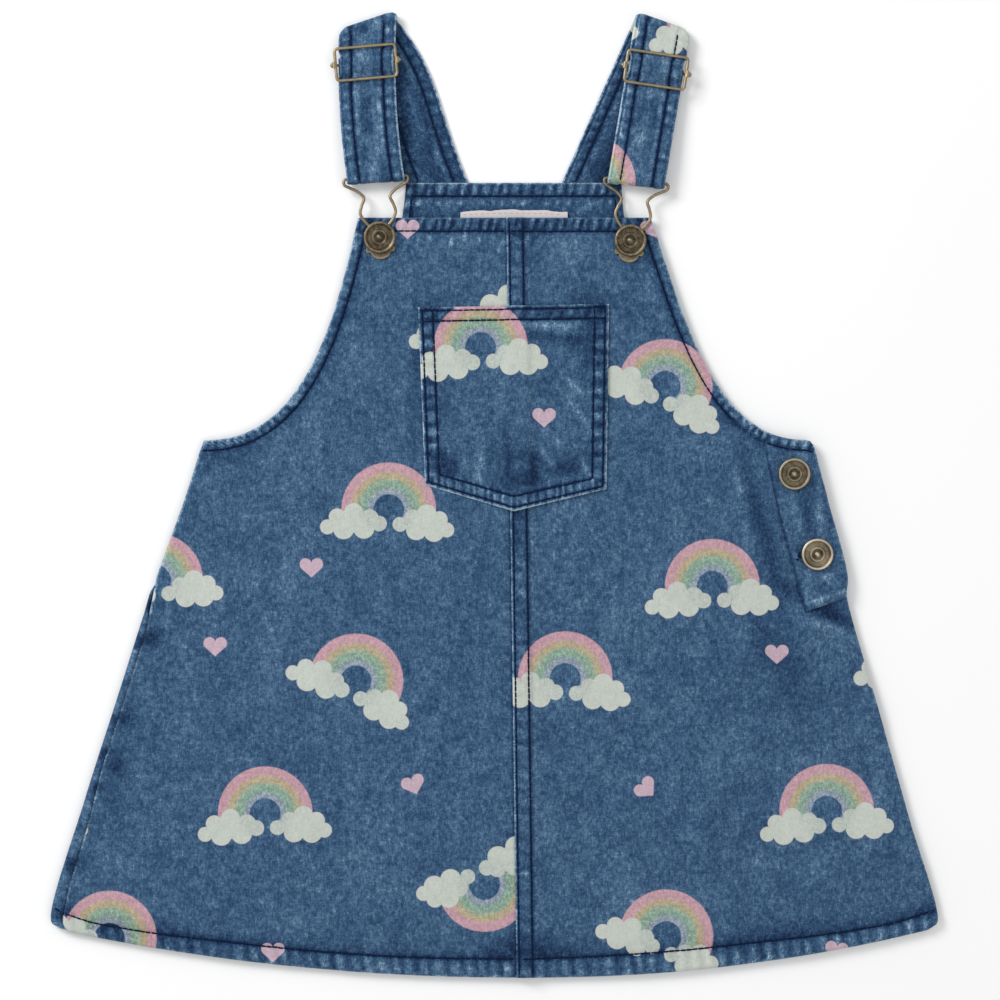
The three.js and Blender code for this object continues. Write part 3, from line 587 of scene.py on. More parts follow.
# the darkest tone is patina in hollows and painted shade below wires and plates and in a button's dark
# sectors; rubbed is the near-white of a button's centre and rim, rubbed brass with painted highlight
brassLook = {
    "bright": (0.39, 0.315, 0.20),
    "dull": (0.105, 0.082, 0.053),
    "sootAndShadeColour": (0.018, 0.014, 0.010),
    "rubbed": (0.78, 0.70, 0.55),
}


def makeBrass(name):
    look, tree, shader = newLook(name)
    place = tree.nodes.new("ShaderNodeTexCoord").outputs["Object"]
    shiny, dark, worn, _ = wearAndShadeParts(tree)
    patina = fineNoise(tree, place, (420, 420, 420), 4, 0.65)
    grit = fineNoise(tree, place, (1900, 1900, 1900), 3, 0.7)
    body = mixColour(tree, ramp(tree, patina, 0.35, 0.7), brassLook["dull"], brassLook["bright"])
    # the red channel paints highlight on the tops of wires and rims; the blue one the rubbed, highlighted
    # centre and rim of a button
    body = mixColour(tree, times(tree, shiny, 0.8), body, brassLook["bright"])
    body = mixColour(tree, worn, body, brassLook["rubbed"])
    sootAndShade = larger(tree, times(tree, dark, ramp(tree, grit, 0.72, 0.35)), times(tree, dark, 0.80))
    tree.links.new(mixColour(tree, sootAndShade, body, brassLook["sootAndShadeColour"]), shader.inputs["Base Color"])
    setFinish(shader, {"Metallic": 0.92})
    tree.links.new(addUp(tree, 0.30, times(tree, grit, 0.28)), shader.inputs["Roughness"])
    addRelief(tree, shader, grit, 0.35, 0.00012)
    return look


def makeThread(name, colour):
    look, tree, shader = newLook(name)
    place = tree.nodes.new("ShaderNodeTexCoord").outputs["Object"]
    fuzz = fineNoise(tree, place, (2600, 2600, 2600), 3, 0.7)
    tint = mixColour(tree, fuzz, tuple(c * 0.5 for c in colour), tuple(min(1, c * 1.7) for c in colour))
    tree.links.new(tint, shader.inputs["Base Color"])
    setFinish(shader, {"Roughness": 0.8, "Specular IOR Level": 0.1})
    addRelief(tree, shader, fuzz, 0.5, 0.0001)
    return look


def makeTape(name):
    look, tree, shader = newLook(name)
    weft = fineNoise(tree, uvPlace(tree, "grain"), (14, 60, 1), 3, 0.6)
    tree.links.new(mixColour(tree, weft, (0.50, 0.45, 0.46), (0.66, 0.62, 0.62)), shader.inputs["Base Color"])
    setFinish(shader, {"Roughness": 0.75, "Sheen Weight": 0.2})
    addRelief(tree, shader, weft, 0.4, 0.0001)
    return look


printedDenim = makeDenim("printed denim", True)
plainDenim = makeDenim("plain denim", False)
agedBrass = makeBrass("aged brass")
navyThread = makeThread("navy thread", (0.0015, 0.009, 0.036))
paleThread = makeThread("pale thread", (0.42, 0.40, 0.40))
labelTape = makeTape("label tape")
print("materials ready")


# panels

def halfRows(side, armhole, topY, sideShares, armholeShares):
    sideLine = resample(alongCurve(side, 1400), np.asarray(sideShares))
    right = np.sign(side[0][0])
    waistY, hemY = dressSizes["waistY"], dressSizes["hemMiddleY"]
    seamY = hemY + (waistY - hemY) * np.asarray(sideShares)
    slope = 2 * (sideLine[:, 1] - seamY) / (sideLine[:, 0] - seamX(seamY))
    inward = unitRows(np.stack([np.full_like(slope, -right), -right * slope], 1))
    t = np.asarray(armholeShares, float)
    place, tangent = cubic(armhole, t)
    normal = np.stack([-right * np.abs(tangent[:, 1]), -np.abs(tangent[:, 0])], 1)
    share = np.clip(1 - t / 0.3, 0, 1)[:, None]
    turn = unitRows(normal * (1 - share) + np.array([-right, -1.0]) * share)
    flat = ease(t, 0.8, 0.99)[:, None]
    turn = unitRows(turn * (1 - flat) + np.array([-right, 0.0]) * flat)
    lowY = armhole[0][1]
    climb = 0.65 * (place[:, 1] - lowY) / (topY - lowY) + 0.35 * t
    seamY = np.r_[seamY, waistY + (topY - waistY) * climb]
    return np.vstack([sideLine, place]), np.vstack([inward, turn]), seamY


def leftWrap(y):
    order = np.argsort(wrapTable["y"])
    width = np.interp(y, np.array(wrapTable["y"])[order], np.array(wrapTable["width"])[order])
    return np.where(y > dressSizes["waistY"], 0.0, width)


sideLength = 258.0
rowSteps = {
    "side": np.r_[np.linspace(0, 14, 17) / sideLength, np.linspace(17, sideLength - 7.5, 95) / sideLength],
    "armhole": np.r_[np.linspace(0, 0.24, 22), np.linspace(0.255, 0.93, 46), np.linspace(0.94, 1, 9)],
}
seamSteps = {  # columns beside the middle seam
    "lapped": [11.0, 10.2, 9.4, 8.7, 8.0, 7.0, 5.8, 4.6, 3.4, 2.3, 1.4, 0.7, 0.3, 0.0],
    "under": [-1.5, 0.5, 3, 8],
}


# the left half runs under the back's roll, and the right half laps over the left
def frontPanel(name, side, armhole, lapped):
    bibTopY, face, cloth, lapRise = [dressSizes[key] for key in ("bibTopY", "frontTop", "cloth", "lapRise")]
    edge, inward, seamY = halfRows(side, armhole, bibTopY, rowSteps["side"], rowSteps["armhole"])
    sideCount = len(rowSteps["side"])
    wrap = np.zeros(len(edge)) if lapped else leftWrap(edge[:, 1])
    wrap = np.where(wrap > 0, wrap + 0.5, 0)
    near = np.array([0, 0.35, 0.8, 1.5, 2.5, 3.6, 4.8, 5.7, 6.4, 7.2, 8.4, 10])
    seamEnd = seamSteps["lapped" if lapped else "under"]
    shares = np.linspace(0, 1, 118)[1:]
    start = edge + inward * (wrap + near[-1])[:, None]
    endX = seamX(seamY) + seamEnd[0]
    x = [edge[:, 0:1] + inward[:, 0:1] * (wrap[:, None] + near),
         start[:, 0:1] + (endX - start[:, 0])[:, None] * shares]
    y = [edge[:, 1:2] + inward[:, 1:2] * (wrap[:, None] + near),
         seamY[:, None] + (start[:, 1] - seamY)[:, None] * (1 - shares) ** 2]
    x.append((seamX(seamY)[:, None] + np.array(seamEnd[1:])))
    y.append(np.repeat(seamY[:, None], len(seamEnd) - 1, 1))
    x, y = np.hstack(x), np.hstack(y)
    right = np.sign(side[0][0])
    x, y = softCorner(x, y, side[-1], (-0.75 * right, -0.66), 1.4 if lapped else 0.4)
    x, y = softCorner(x, y, side[0], (-0.5 * right, 0.85), 0.9, 2.0)
    fromEdge = np.full(x.shape, 99.0)
    fromEdge[:, :len(near)] = near
    fromArm, alongArm = nearLine(cubic(armhole, np.linspace(0, 1, 200))[0], x, y)
    rowHem = np.full(len(x), 99.0)
    rowHem[:sideCount] = np.asarray(rowSteps["side"]) * sideLength
    fromHem = rowHem[:, None] + np.zeros_like(x)
    aboveHem = (y - hemCurve(x)) * 9.7 / hemLift(x)
    fromHem = fromHem + (np.maximum(aboveHem, 3) - fromHem) * ease(fromHem, 3, 6) * (fromHem < 60)
    fromTop = bibTopY - y
    isArmhole = (np.arange(len(x)) >= sideCount)[:, None] + np.zeros_like(x)
    fromSeam = x - seamX(y)
    nearRow, farRow = seamRows["lap"]
    seed = 40 if lapped else 10

    flat = face + foldHeight(x, y)
    height = flat + 0.25 * mottle(x, y, 70, seed) + 0.08 * mottle(x, y, 22, seed + 1)
    hemBand = strip(fromHem, 0.0, 1.5, 8.6, 11.5)
    hemRope = pucker(x + fromHem * 0.15, 7.4, seed + 2)
    height += hemBand * (0.35 + 0.55 * hemRope) - 0.5 * bump(fromHem, 9.6, 1.1)
    armBand = strip(fromArm, 0.3, 1.3, 4.4, 6.2)
    armRope = pucker(alongArm + fromArm * 0.15, 4.0, seed + 4)
    height += armBand * (0.25 + 0.3 * armRope) - 0.45 * bump(fromArm, seamRows["armhole"], 0.8)
    topBand = strip(fromTop, 0.0, 1.2, 5.8, 8.4)
    topRope = pucker(x + fromTop * 0.25, 4.8, seed + 6)
    height += topBand * (0.25 + 0.35 * topRope) - 0.45 * bump(fromTop, 6.9, 0.9)
    seamRope = pucker(y + fromSeam * 0.35, 7.3, 90)
    if lapped:
        lift = fadeOut(fromSeam, 8.6, 11.0)
        height += lift * lapRise * (1 - 0.35 * fadeOut(fromSeam, 0.0, 1.0))
        height += 0.42 * seamRope * bump(fromSeam, 4.6, 3.4)
        height -= 0.35 * (bump(fromSeam, nearRow, 0.7) + bump(fromSeam, farRow, 0.8))
        height += 0.14 * seamRope * bump(fromSeam, 14, 4)
    else:
        height += 0.22 * seamRope * bump(fromSeam, -3, 4)
    sideBand = (1 - isArmhole) * fadeOut(fromEdge, 3, 10)
    dimple = np.maximum(pucker(y, 20, seed + 8), 0) * ((y < -55) & (not lapped))
    height -= 0.7 * sideBand * dimple
    rounding = 0.75 * fadeOut(np.minimum(fromEdge, fromArm), 0, 1.4)
    rounding += 0.75 * fadeOut(fromHem, 0, 1.3) * (fromEdge > 0.2)
    rounding += 0.75 * fadeOut(fromTop, 0, 1.2) * (fromEdge > 0.2)
    upperZ = height - np.clip(rounding, 0, 0.85)
    doubled = np.maximum.reduce([fadeOut(fromHem, 9, 11), fadeOut(fromArm, 5.2, 7.2),
                                 fadeOut(fromTop, 6.4, 8.4), fadeOut(fromEdge, 5, 7)])
    lowerZ = flat - (cloth + (dressSizes["turned"] - cloth) * doubled)
    if lapped:
        lowerZ += lift * (lapRise + doubled * 0.8)
    else:
        tucked = ease(fromSeam, -1.0, 0.2)
        upperZ = upperZ * (1 - tucked) + (face - 0.05) * tucked
        lowerZ = np.minimum(lowerZ, upperZ - 1.0)
    lowerZ = np.minimum(lowerZ, upperZ - 0.9)

    smudge = 0.5 + 0.5 * mottle(x, y, 9, seed + 11)
    pale = hemBand * (0.04 + 0.75 * rubbed(hemRope)) * (0.4 + 0.6 * smudge)
    pale *= 0.35 + 0.65 * ease(x, -190, -60)
    pale += 0.35 * fadeOut(fromHem, 0.4, 2.0) * smudge
    nearCorner = 1 - 0.6 * ease(alongArm, 35, 80)
    pale += armBand * nearCorner * (0.05 + 0.95 * rubbed(armRope + 0.35)) * (0.5 + 0.5 * smudge)
    pale += 0.35 * fadeOut(fromArm, 0.3, 1.4) + 0.3 * fadeOut(fromEdge, 0.2, 1.2)
    pale += topBand * 0.75 * rubbed(topRope) * (0.3 + 0.7 * smudge)
    pale += 0.8 * bump(fromTop, 11.5, 4) * rubbed(pucker(x + fromTop * 0.3, 6.4, seed + 14)) * smudge
    dark = hemBand * 0.6 * np.clip(-hemRope, 0, 1) + 1.1 * bump(fromHem, 9.7, 1.0)
    dark += 0.35 * bump(fromHem, 11.5, 1.4) * np.clip(-hemRope, 0, 1)
    dark += armBand * nearCorner * 0.9 * rubbed(-armRope) + 1.1 * bump(fromArm, seamRows["armhole"], 0.9)
    dark += topBand * (0.25 + 0.75 * rubbed(-topRope)) + 1.1 * bump(fromTop, 7.0, 1.0)
    if lapped:
        pale += bump(fromSeam, 4.8, 3.0) * 0.55 * np.clip(seamRope, 0, 1) + 0.45 * bump(fromSeam, 0.3, 0.6)
        pale += 0.30 * bump(fromSeam, 10.9, 1.1) * (0.4 + 0.6 * smudge)
        dark += bump(fromSeam, 4.6, 3.0) * 0.6 * np.clip(-seamRope, 0, 1)
        dark += 0.8 * bump(fromSeam, farRow + 0.2, 0.8) + 0.7 * bump(fromSeam, nearRow, 0.7)
    else:
        # the left half is painted darker where it runs under the right half's lap, as shade
        dark += 0.8 * ease(fromSeam, -1.2, 0.2) + 0.25 * bump(fromSeam, -3, 2.5) * np.clip(-seamRope, 0, 1)
        pale += 0.25 * bump(fromSeam, -4, 2.5) * np.clip(seamRope, 0, 1)
    # the side seam's dimples are painted darker, as shade
    dark += 0.35 * sideBand * dimple + 0.30 * bump(fromHem, 11.5, 4) + 0.28 * bump(fromArm, 6.2, 2.4)
    # painted shade and darker dye from the dark table, then painted light and worn-off dye from the pale table
    dark += patches(darkDyeAndShadePatches, x, y)
    pale += patches(paleWashAndLightPatches, x, y)
    edge = 0.6 * fadeOut(fromArm, 0.2, 1.1) * smudge + 0.4 * fadeOut(fromHem, 0.2, 1.2) * smudge
    edge += 0.45 * fadeOut(fromTop, 0.2, 1.0) * smudge
    if lapped:
        edge += 0.4 * bump(fromSeam, 0.2, 0.45) * (0.5 + 0.5 * smudge)
    else:  # the side seam's own edge beside the roll
        edge += 0.6 * fadeOut(fromEdge, 0.4, 1.5) * (y < 26) * (0.4 + 0.6 * smudge)
    upper, lower = np.stack([x, y, upperZ], 2), np.stack([x, y, lowerZ], 2)
    grain = np.stack([x, y], 2)
    if lapped:
        upper, lower, grain = upper[:, ::-1], lower[:, ::-1], grain[:, ::-1]
        pale, dark, edge = pale[:, ::-1], dark[:, ::-1], edge[:, ::-1]
    return clothWall(name, upper, lower, printedDenim, pale, dark, grain, printed=True, edge=edge)


frontLeft = frontPanel("front_left_panel", leftSide, armholes["frontLeft"], False)
frontRight = frontPanel("front_right_panel", rightSide, armholes["frontRight"], True)
print("front panels cut")


# the back: flat on the table, its left edge rolled over onto the front

def backPanel():
    top = dressSizes["backTopY"]
    sideShares = np.r_[np.linspace(0, 12, 9), np.linspace(15, sideLength - 7.5, 98)] / sideLength
    armShares = np.r_[np.linspace(0, 0.85, 40), np.linspace(0.862, 1, 26)]
    edge, inward, seamY = halfRows(leftSide, armholes["backLeft"], top, sideShares, armShares)
    otherEdge, otherInward, _ = halfRows(rightSide, armholes["backRight"], top, sideShares, armShares)
    rows = len(edge)
    radius, cloth = dressSizes["rollRadius"], dressSizes["cloth"]
    inner = radius - cloth
    wrap = leftWrap(edge[:, 1])
    share = np.clip(wrap / radius, 0, 1)
    foot = 1.4 * (1 - share) + radius * share
    reach = np.pi * np.minimum(wrap, radius) + np.maximum(wrap - radius, 0) + 0.4
    steps = np.linspace(1, 0, 15)
    length = reach[:, None] * steps
    angle = np.minimum(length / radius, np.pi)
    straight = np.maximum(length - np.pi * radius, 0)
    outDistance = foot[:, None] - radius * np.sin(angle) + straight
    inDistance = foot[:, None] - inner * np.sin(angle) + straight
    outZ, inZ = radius * (1 - np.cos(angle)), radius - inner * np.cos(angle)
    near = np.array([0.4, 1.0, 2.0, 3.2, 4.0, 4.6, 5.4])
    nearDistance = foot[:, None] + near
    shares = np.linspace(0, 1, 46)[1:]
    lowX = [edge[:, 0:1] + inward[:, 0:1] * np.hstack([outDistance, nearDistance])]
    lowY = [edge[:, 1:2] + inward[:, 1:2] * np.hstack([outDistance, nearDistance])]
    upX = [edge[:, 0:1] + inward[:, 0:1] * np.hstack([inDistance, nearDistance])]
    upY = [edge[:, 1:2] + inward[:, 1:2] * np.hstack([inDistance, nearDistance])]
    start = edge + inward * (foot + near[-1])[:, None]
    x = start[:, 0:1] + (seamX(seamY) - start[:, 0])[:, None] * shares
    y = seamY[:, None] + (start[:, 1] - seamY)[:, None] * (1 - shares) ** 2
    other = np.array([7.0, 6.2, 5.4, 4.6, 3.2, 2.0, 1.4, 1.0])
    otherStart = otherEdge + otherInward * other[0]
    back = shares[::-1][1:]
    restX = [x, otherStart[:, 0:1] + (seamX(seamY) - otherStart[:, 0])[:, None] * back,
             otherEdge[:, 0:1] + otherInward[:, 0:1] * other]
    restY = [y, seamY[:, None] + (otherStart[:, 1] - seamY)[:, None] * (1 - back) ** 2,
             otherEdge[:, 1:2] + otherInward[:, 1:2] * other]
    lowX, lowY = np.hstack(lowX + restX), np.hstack(lowY + restY)
    upX, upY = np.hstack(upX + restX), np.hstack(upY + restY)
    hemInset = 1.0 * (np.arange(rows) < 1)[:, None]
    lowY, upY = lowY + hemInset, upY + hemInset
    for side in (leftSide, rightSide):
        right = np.sign(side[0][0])
        lowX, lowY = softCorner(lowX, lowY, side[-1], (-0.75 * right, -0.66), 1.2 + 0.5 * right)
        upX, upY = softCorner(upX, upY, side[-1], (-0.75 * right, -0.66), 1.2 + 0.5 * right)
        lowX, lowY = softCorner(lowX, lowY, side[0], (-0.5 * right, 0.85), 1.1, 2.0)
        upX, upY = softCorner(upX, upY, side[0], (-0.5 * right, 0.85), 1.1, 2.0)
    roll = len(steps)
    columns = lowX.shape[1]
    lowZ, upZ = np.zeros((rows, columns)), np.full((rows, columns), cloth)
    fromEdge = np.full((rows, columns), 99.0)
    fromEdge[:, roll:roll + len(near)] = near + 0.4
    fromEdge[:, -len(other):] = other - 1.0
    fromTop = top - upY
    isArmhole = (np.arange(rows) >= len(sideShares))[:, None] + np.zeros_like(upY)
    alongEdge = lengthAlong(edge)[:, None] + np.zeros_like(upX)
    topRope, armRope = pucker(upX + fromTop * 0.2, 5.6, 61), pucker(alongEdge, 6.5, 63)
    topBand = strip(fromTop, 0, 1.2, 5.8, 8.2)
    armBand = isArmhole * strip(fromEdge, 0.2, 1.2, 3.8, 5.4)
    upZ += 0.8 * np.maximum(fadeOut(fromTop, 6.0, 7.4), isArmhole * fadeOut(fromEdge, 4.0, 5.2))
    upZ += topBand * 0.35 * topRope + armBand * 0.3 * armRope - 0.35 * bump(fromTop, 6.8, 0.8)
    upZ -= 0.5 * fadeOut(fromTop, 0, 1.1) + 0.3 * fadeOut(fromEdge, 0, 0.9)
    upZ[:, :roll], lowZ[:, :roll] = inZ, outZ
    dimple = np.maximum(pucker(edge[:, 1], 20, 18), 0) * (edge[:, 1] < -55)
    lip = ease(steps, 0.35, 0.8)
    lowZ[:, :roll] -= (0.55 * dimple)[:, None] * lip * (wrap > 1)[:, None]
    upZ[:, :roll] -= (0.55 * dimple)[:, None] * lip * (wrap > 1)[:, None]
    smudge = 0.5 + 0.5 * mottle(upX, upY, 8, 65)
    pale = topBand * (0.05 + 0.9 * rubbed(topRope)) * (0.35 + 0.65 * smudge)
    pale += 0.5 * fadeOut(fromTop, 0.3, 1.4)
    pale += 0.8 * bump(fromTop, 10.3, 1.5) * rubbed(topRope)
    pale += armBand * 0.4 * np.clip(armRope, 0, 1)
    belowHem = strip(fromTop, 8, 11, 24, 40)
    pale += 0.75 * np.clip(mottle(upX * 0.6, upY, 11, 69), 0, 1) * belowHem
    dark = topBand * 0.75 * rubbed(-topRope) + 0.8 * bump(fromTop, 6.9, 0.9)
    dark += armBand * 0.5 * np.clip(-armRope, 0, 1) + 0.6 * isArmhole * bump(fromEdge, 4.6, 0.8)
    # darker all over, and darker still towards where the back runs under the front's top edge: painted shade
    # there
    dark += 0.20 + 0.17 * ease(fromTop, 9, 18)
    lowPale, lowDark = np.zeros_like(pale), np.zeros_like(dark)
    onTop = ease(length / radius, 1.9, 2.9)
    lowPale[:, :roll] = 0.45 * onTop * (0.3 + 0.7 * smudge[:, :roll]) * (1 - dimple[:, None])
    # the roll's dimples are painted darker, as shade
    lowDark[:, :roll] = 0.85 * dimple[:, None] * lip + 0.5 * bump(steps, 1.0, 0.12) * (wrap > 1)[:, None]
    rim = 0.8 * fadeOut(fromTop, 0.15, 0.9) * (0.4 + 0.6 * smudge)
    upper, lower = np.stack([upX, upY, upZ], 2), np.stack([lowX, lowY, lowZ], 2)
    return clothWall("back_panel", upper, lower, plainDenim, pale, dark, np.stack([upX, upY], 2),
                     edge=rim, below=(lowPale, lowDark, np.zeros_like(pale)))


backDress = backPanel()
print("back panel cut")


pocketSizes = {
    "left": (-39.4, 97.0, -35.9, 4.8),     # top x, top y, bottom x, bottom y
    "right": (59.8, 98.8, 58.5, 2.6),
    "point": (10.2, -9.0),
    "hem": 7.3,
    "rows": (2.0, 7.5),                    # stitch lines in from the edge
    "topRow": 1.9,
    "gap": 0.3,
}
# the plus ones darken the pocket's corners and crease valleys: darker dye and painted shade
pocketShadeAndWearPatches = [  # x, y, turn, length, width, strength; the minus ones are worn pale
    (-33, 93, 0, 14, 13, 1.2), (54, 94, 0, 15, 14, 1.7), (28, 95, 0, 26, 9, 0.6),
    (-24, 15, -30, 22, 12, 1.3), (7, 17, 90, 28, 4, 1.1), (21, 13, 88, 26, 6.5, 1.1),
    (13.5, 20, 0, 12, 6, 0.9), (14, 7.5, 0, 16, 11, 1.0), (0, 20, 85, 34, 9, 0.55),
    (38, 14.5, 20, 26, 12, 1.2), (56, 60, 88, 70, 8, 0.5), (-36, 55, 88, 70, 7, 0.5),
    (29, 81.5, -5, 20, 6, 1.0), (41, 80.5, 60, 11, 8, 1.2), (49, 79, 90, 30, 8, 0.9),
    (-26, 40, 80, 40, 8, 0.3), (32, 86.5, -9, 32, 5.5, -0.65), (42, 56, -45, 16, 3, -1.1),
    (46, 39.5, -52, 27, 3.6, -1.5), (47, 15, -65, 20, 3, -1.3), (28.5, 17, -55, 17, 3, -1.0),
    (27, 8.5, -60, 11, 3, -1.1), (-7, 16.5, 88, 30, 5, -1.0), (-1, 12, 75, 13, 3, -0.7),
    (-17, 12.5, 80, 13, 3, -0.9), (32, 28, -60, 15, 3, -0.7), (2, 44, 86, 36, 5, -0.4),
    (-30, 72, 88, 26, 3, -0.4),
]


def pocketPiece():
    leftTopX, leftTopY, leftLowX, leftLowY = pocketSizes["left"]
    rightTopX, rightTopY, rightLowX, rightLowY = pocketSizes["right"]
    pointX, pointY = pocketSizes["point"]
    v = np.r_[0, 0.004, 0.009, np.linspace(0.014, 0.09, 16), np.linspace(0.11, 0.895, 50),
              np.linspace(0.91, 0.986, 15), 0.993, 1][:, None]
    u = np.r_[0, 0.004, 0.009, np.linspace(0.014, 0.094, 17), np.linspace(0.115, 0.885, 50),
              np.linspace(0.906, 0.986, 17), 0.991, 0.996, 1][None]
    leftX, rightX = leftLowX + (leftTopX - leftLowX) * v, rightLowX + (rightTopX - rightLowX) * v
    leftY, rightY = leftLowY + (leftTopY - leftLowY) * v, rightLowY + (rightTopY - rightLowY) * v
    middleY = pointY + ((leftTopY + rightTopY) / 2 - pointY) * v
    x = leftX + (rightX - leftX) * u
    toward = np.where(x < pointX, (x - leftX) / (pointX - leftX), (rightX - x) / (rightX - pointX))
    y = np.where(x < pointX, leftY, rightY) * (1 - toward) + middleY * toward
    fromSide = np.minimum(x - leftX, rightX - x)
    lowEdge = np.where(x < pointX, leftLowY + (pointY - leftLowY) * (x - leftLowX) / (pointX - leftLowX),
                       rightLowY + (pointY - rightLowY) * (rightLowX - x) / (rightLowX - pointX))
    fromLow = (y - lowEdge) * 0.96
    fromTop = leftTopY + (rightTopY - leftTopY) * u - y
    fromEdge = np.minimum(fromSide, fromLow)
    lap = strip(x - seamX(y), -3.0, -0.8, 9.8, 12.6)
    base = dressSizes["frontTop"] + foldHeight(x, y) + pocketSizes["gap"] + 0.25
    base += lap * dressSizes["lapRise"]
    onSide = ease(fromLow - fromSide, -1.5, 1.5)
    rope = onSide * pucker(y, 7.6, 121) + (1 - onSide) * pucker(x, 3.9, 129)
    band = strip(fromEdge, 0.2, 1.2, 7.6, 9.4)
    topBand = strip(fromTop, 0, 1, 6.6, 8.4)
    topRope = pucker(x + fromTop * 0.5, 6.6, 123)
    # painted shade, with darker dye, at the corners and in the crease valleys; the pale ridges are wear
    corner = patches(pocketShadeAndWearPatches, x, y)
    height = base + dressSizes["cloth"] + 0.25 * mottle(x, y, 24, 125) - 0.15 * corner
    height += band * 0.28 * rope + topBand * 0.3 * topRope
    nearRow, farRow = pocketSizes["rows"]
    groove = bump(fromEdge, nearRow, 0.6) + bump(fromEdge, farRow, 0.7)
    groove += bump(fromTop, pocketSizes["topRow"], 0.55)
    height -= 0.36 * groove + 0.35 * bump(fromTop, pocketSizes["hem"], 0.8)
    height += 0.35 * band + 0.2 * topBand
    height -= 0.75 * fadeOut(np.minimum(fromEdge, fromTop), 0, 1.1)
    smudge = 0.5 + 0.5 * mottle(x, y, 7, 127)
    streak = np.exp(-((x + 14) / 3.5) ** 2) * fadeOut(y, 30, 55) * ease(y, 2, 10)
    pale = 0.75 * fadeOut(fromEdge, 0.5, 1.6) * (0.4 + 0.7 * smudge)
    pale += band * (0.08 + 0.75 * rubbed(rope)) * (0.3 + 0.7 * smudge)
    pale += 0.4 * fadeOut(fromTop, 0.3, 1.3) + 0.45 * topBand * rubbed(topRope) * smudge + 0.10 * streak
    pale += 0.35 * bump(fromTop, 10.5, 1.8) * ease(x, 2, 20)
    pale += 0.8 * np.clip(-corner, 0, 1) * (0.5 + 0.5 * smudge)
    dark = 1.2 * groove + 1.2 * bump(fromTop, pocketSizes["hem"], 0.8) + 0.64 * np.clip(corner, 0, 2)
    dark += band * 0.7 * rubbed(-rope) + topBand * 0.6 * rubbed(-topRope)
    upper, lower = np.stack([x, y, height], 2), np.stack([x, y, base - 0.2], 2)
    edge = fadeOut(fromEdge, 0.25, 0.9) * (0.5 + 0.6 * smudge)
    edge *= 1 - 0.6 * ease(x, 40, 56) - 0.3 * ease(-x, 31, 35)
    edge += 0.55 * fadeOut(fromTop, 0.2, 0.8) * smudge
    return clothWall("pocket_patch", upper, lower, printedDenim, pale, dark, np.stack([x, y], 2),
                     printed=True, edge=edge)


patchPocket = pocketPiece()

# the valleys are painted darker as shade, and the ridges paler as painted light
bandCreases = [  # x, y, turn, length, width, strength; the minus ones are valleys
    (169, -10, 98, 22, 4, 0.9), (156.5, -11, 100, 20, 5, 0.7), (168, -41.5, -12, 28, 7, 0.9),
    (163, -11, 99, 22, 5, -0.8), (172.5, 6, 80, 12, 5, -0.7), (174, -12, 98, 18, 4, -0.6),
    (166, -48, -14, 30, 5, -0.5), (160, -34, 100, 14, 5, -0.5),
]
bandSizes = {
    "inner": [(161.6, -61.4), (154.9, -37.2), (147.9, -10.7), (144.6, 4.7), (139.4, 31.0)],
    "lowRight": (183.6, -53.6),
    "gap": 0.55,
}


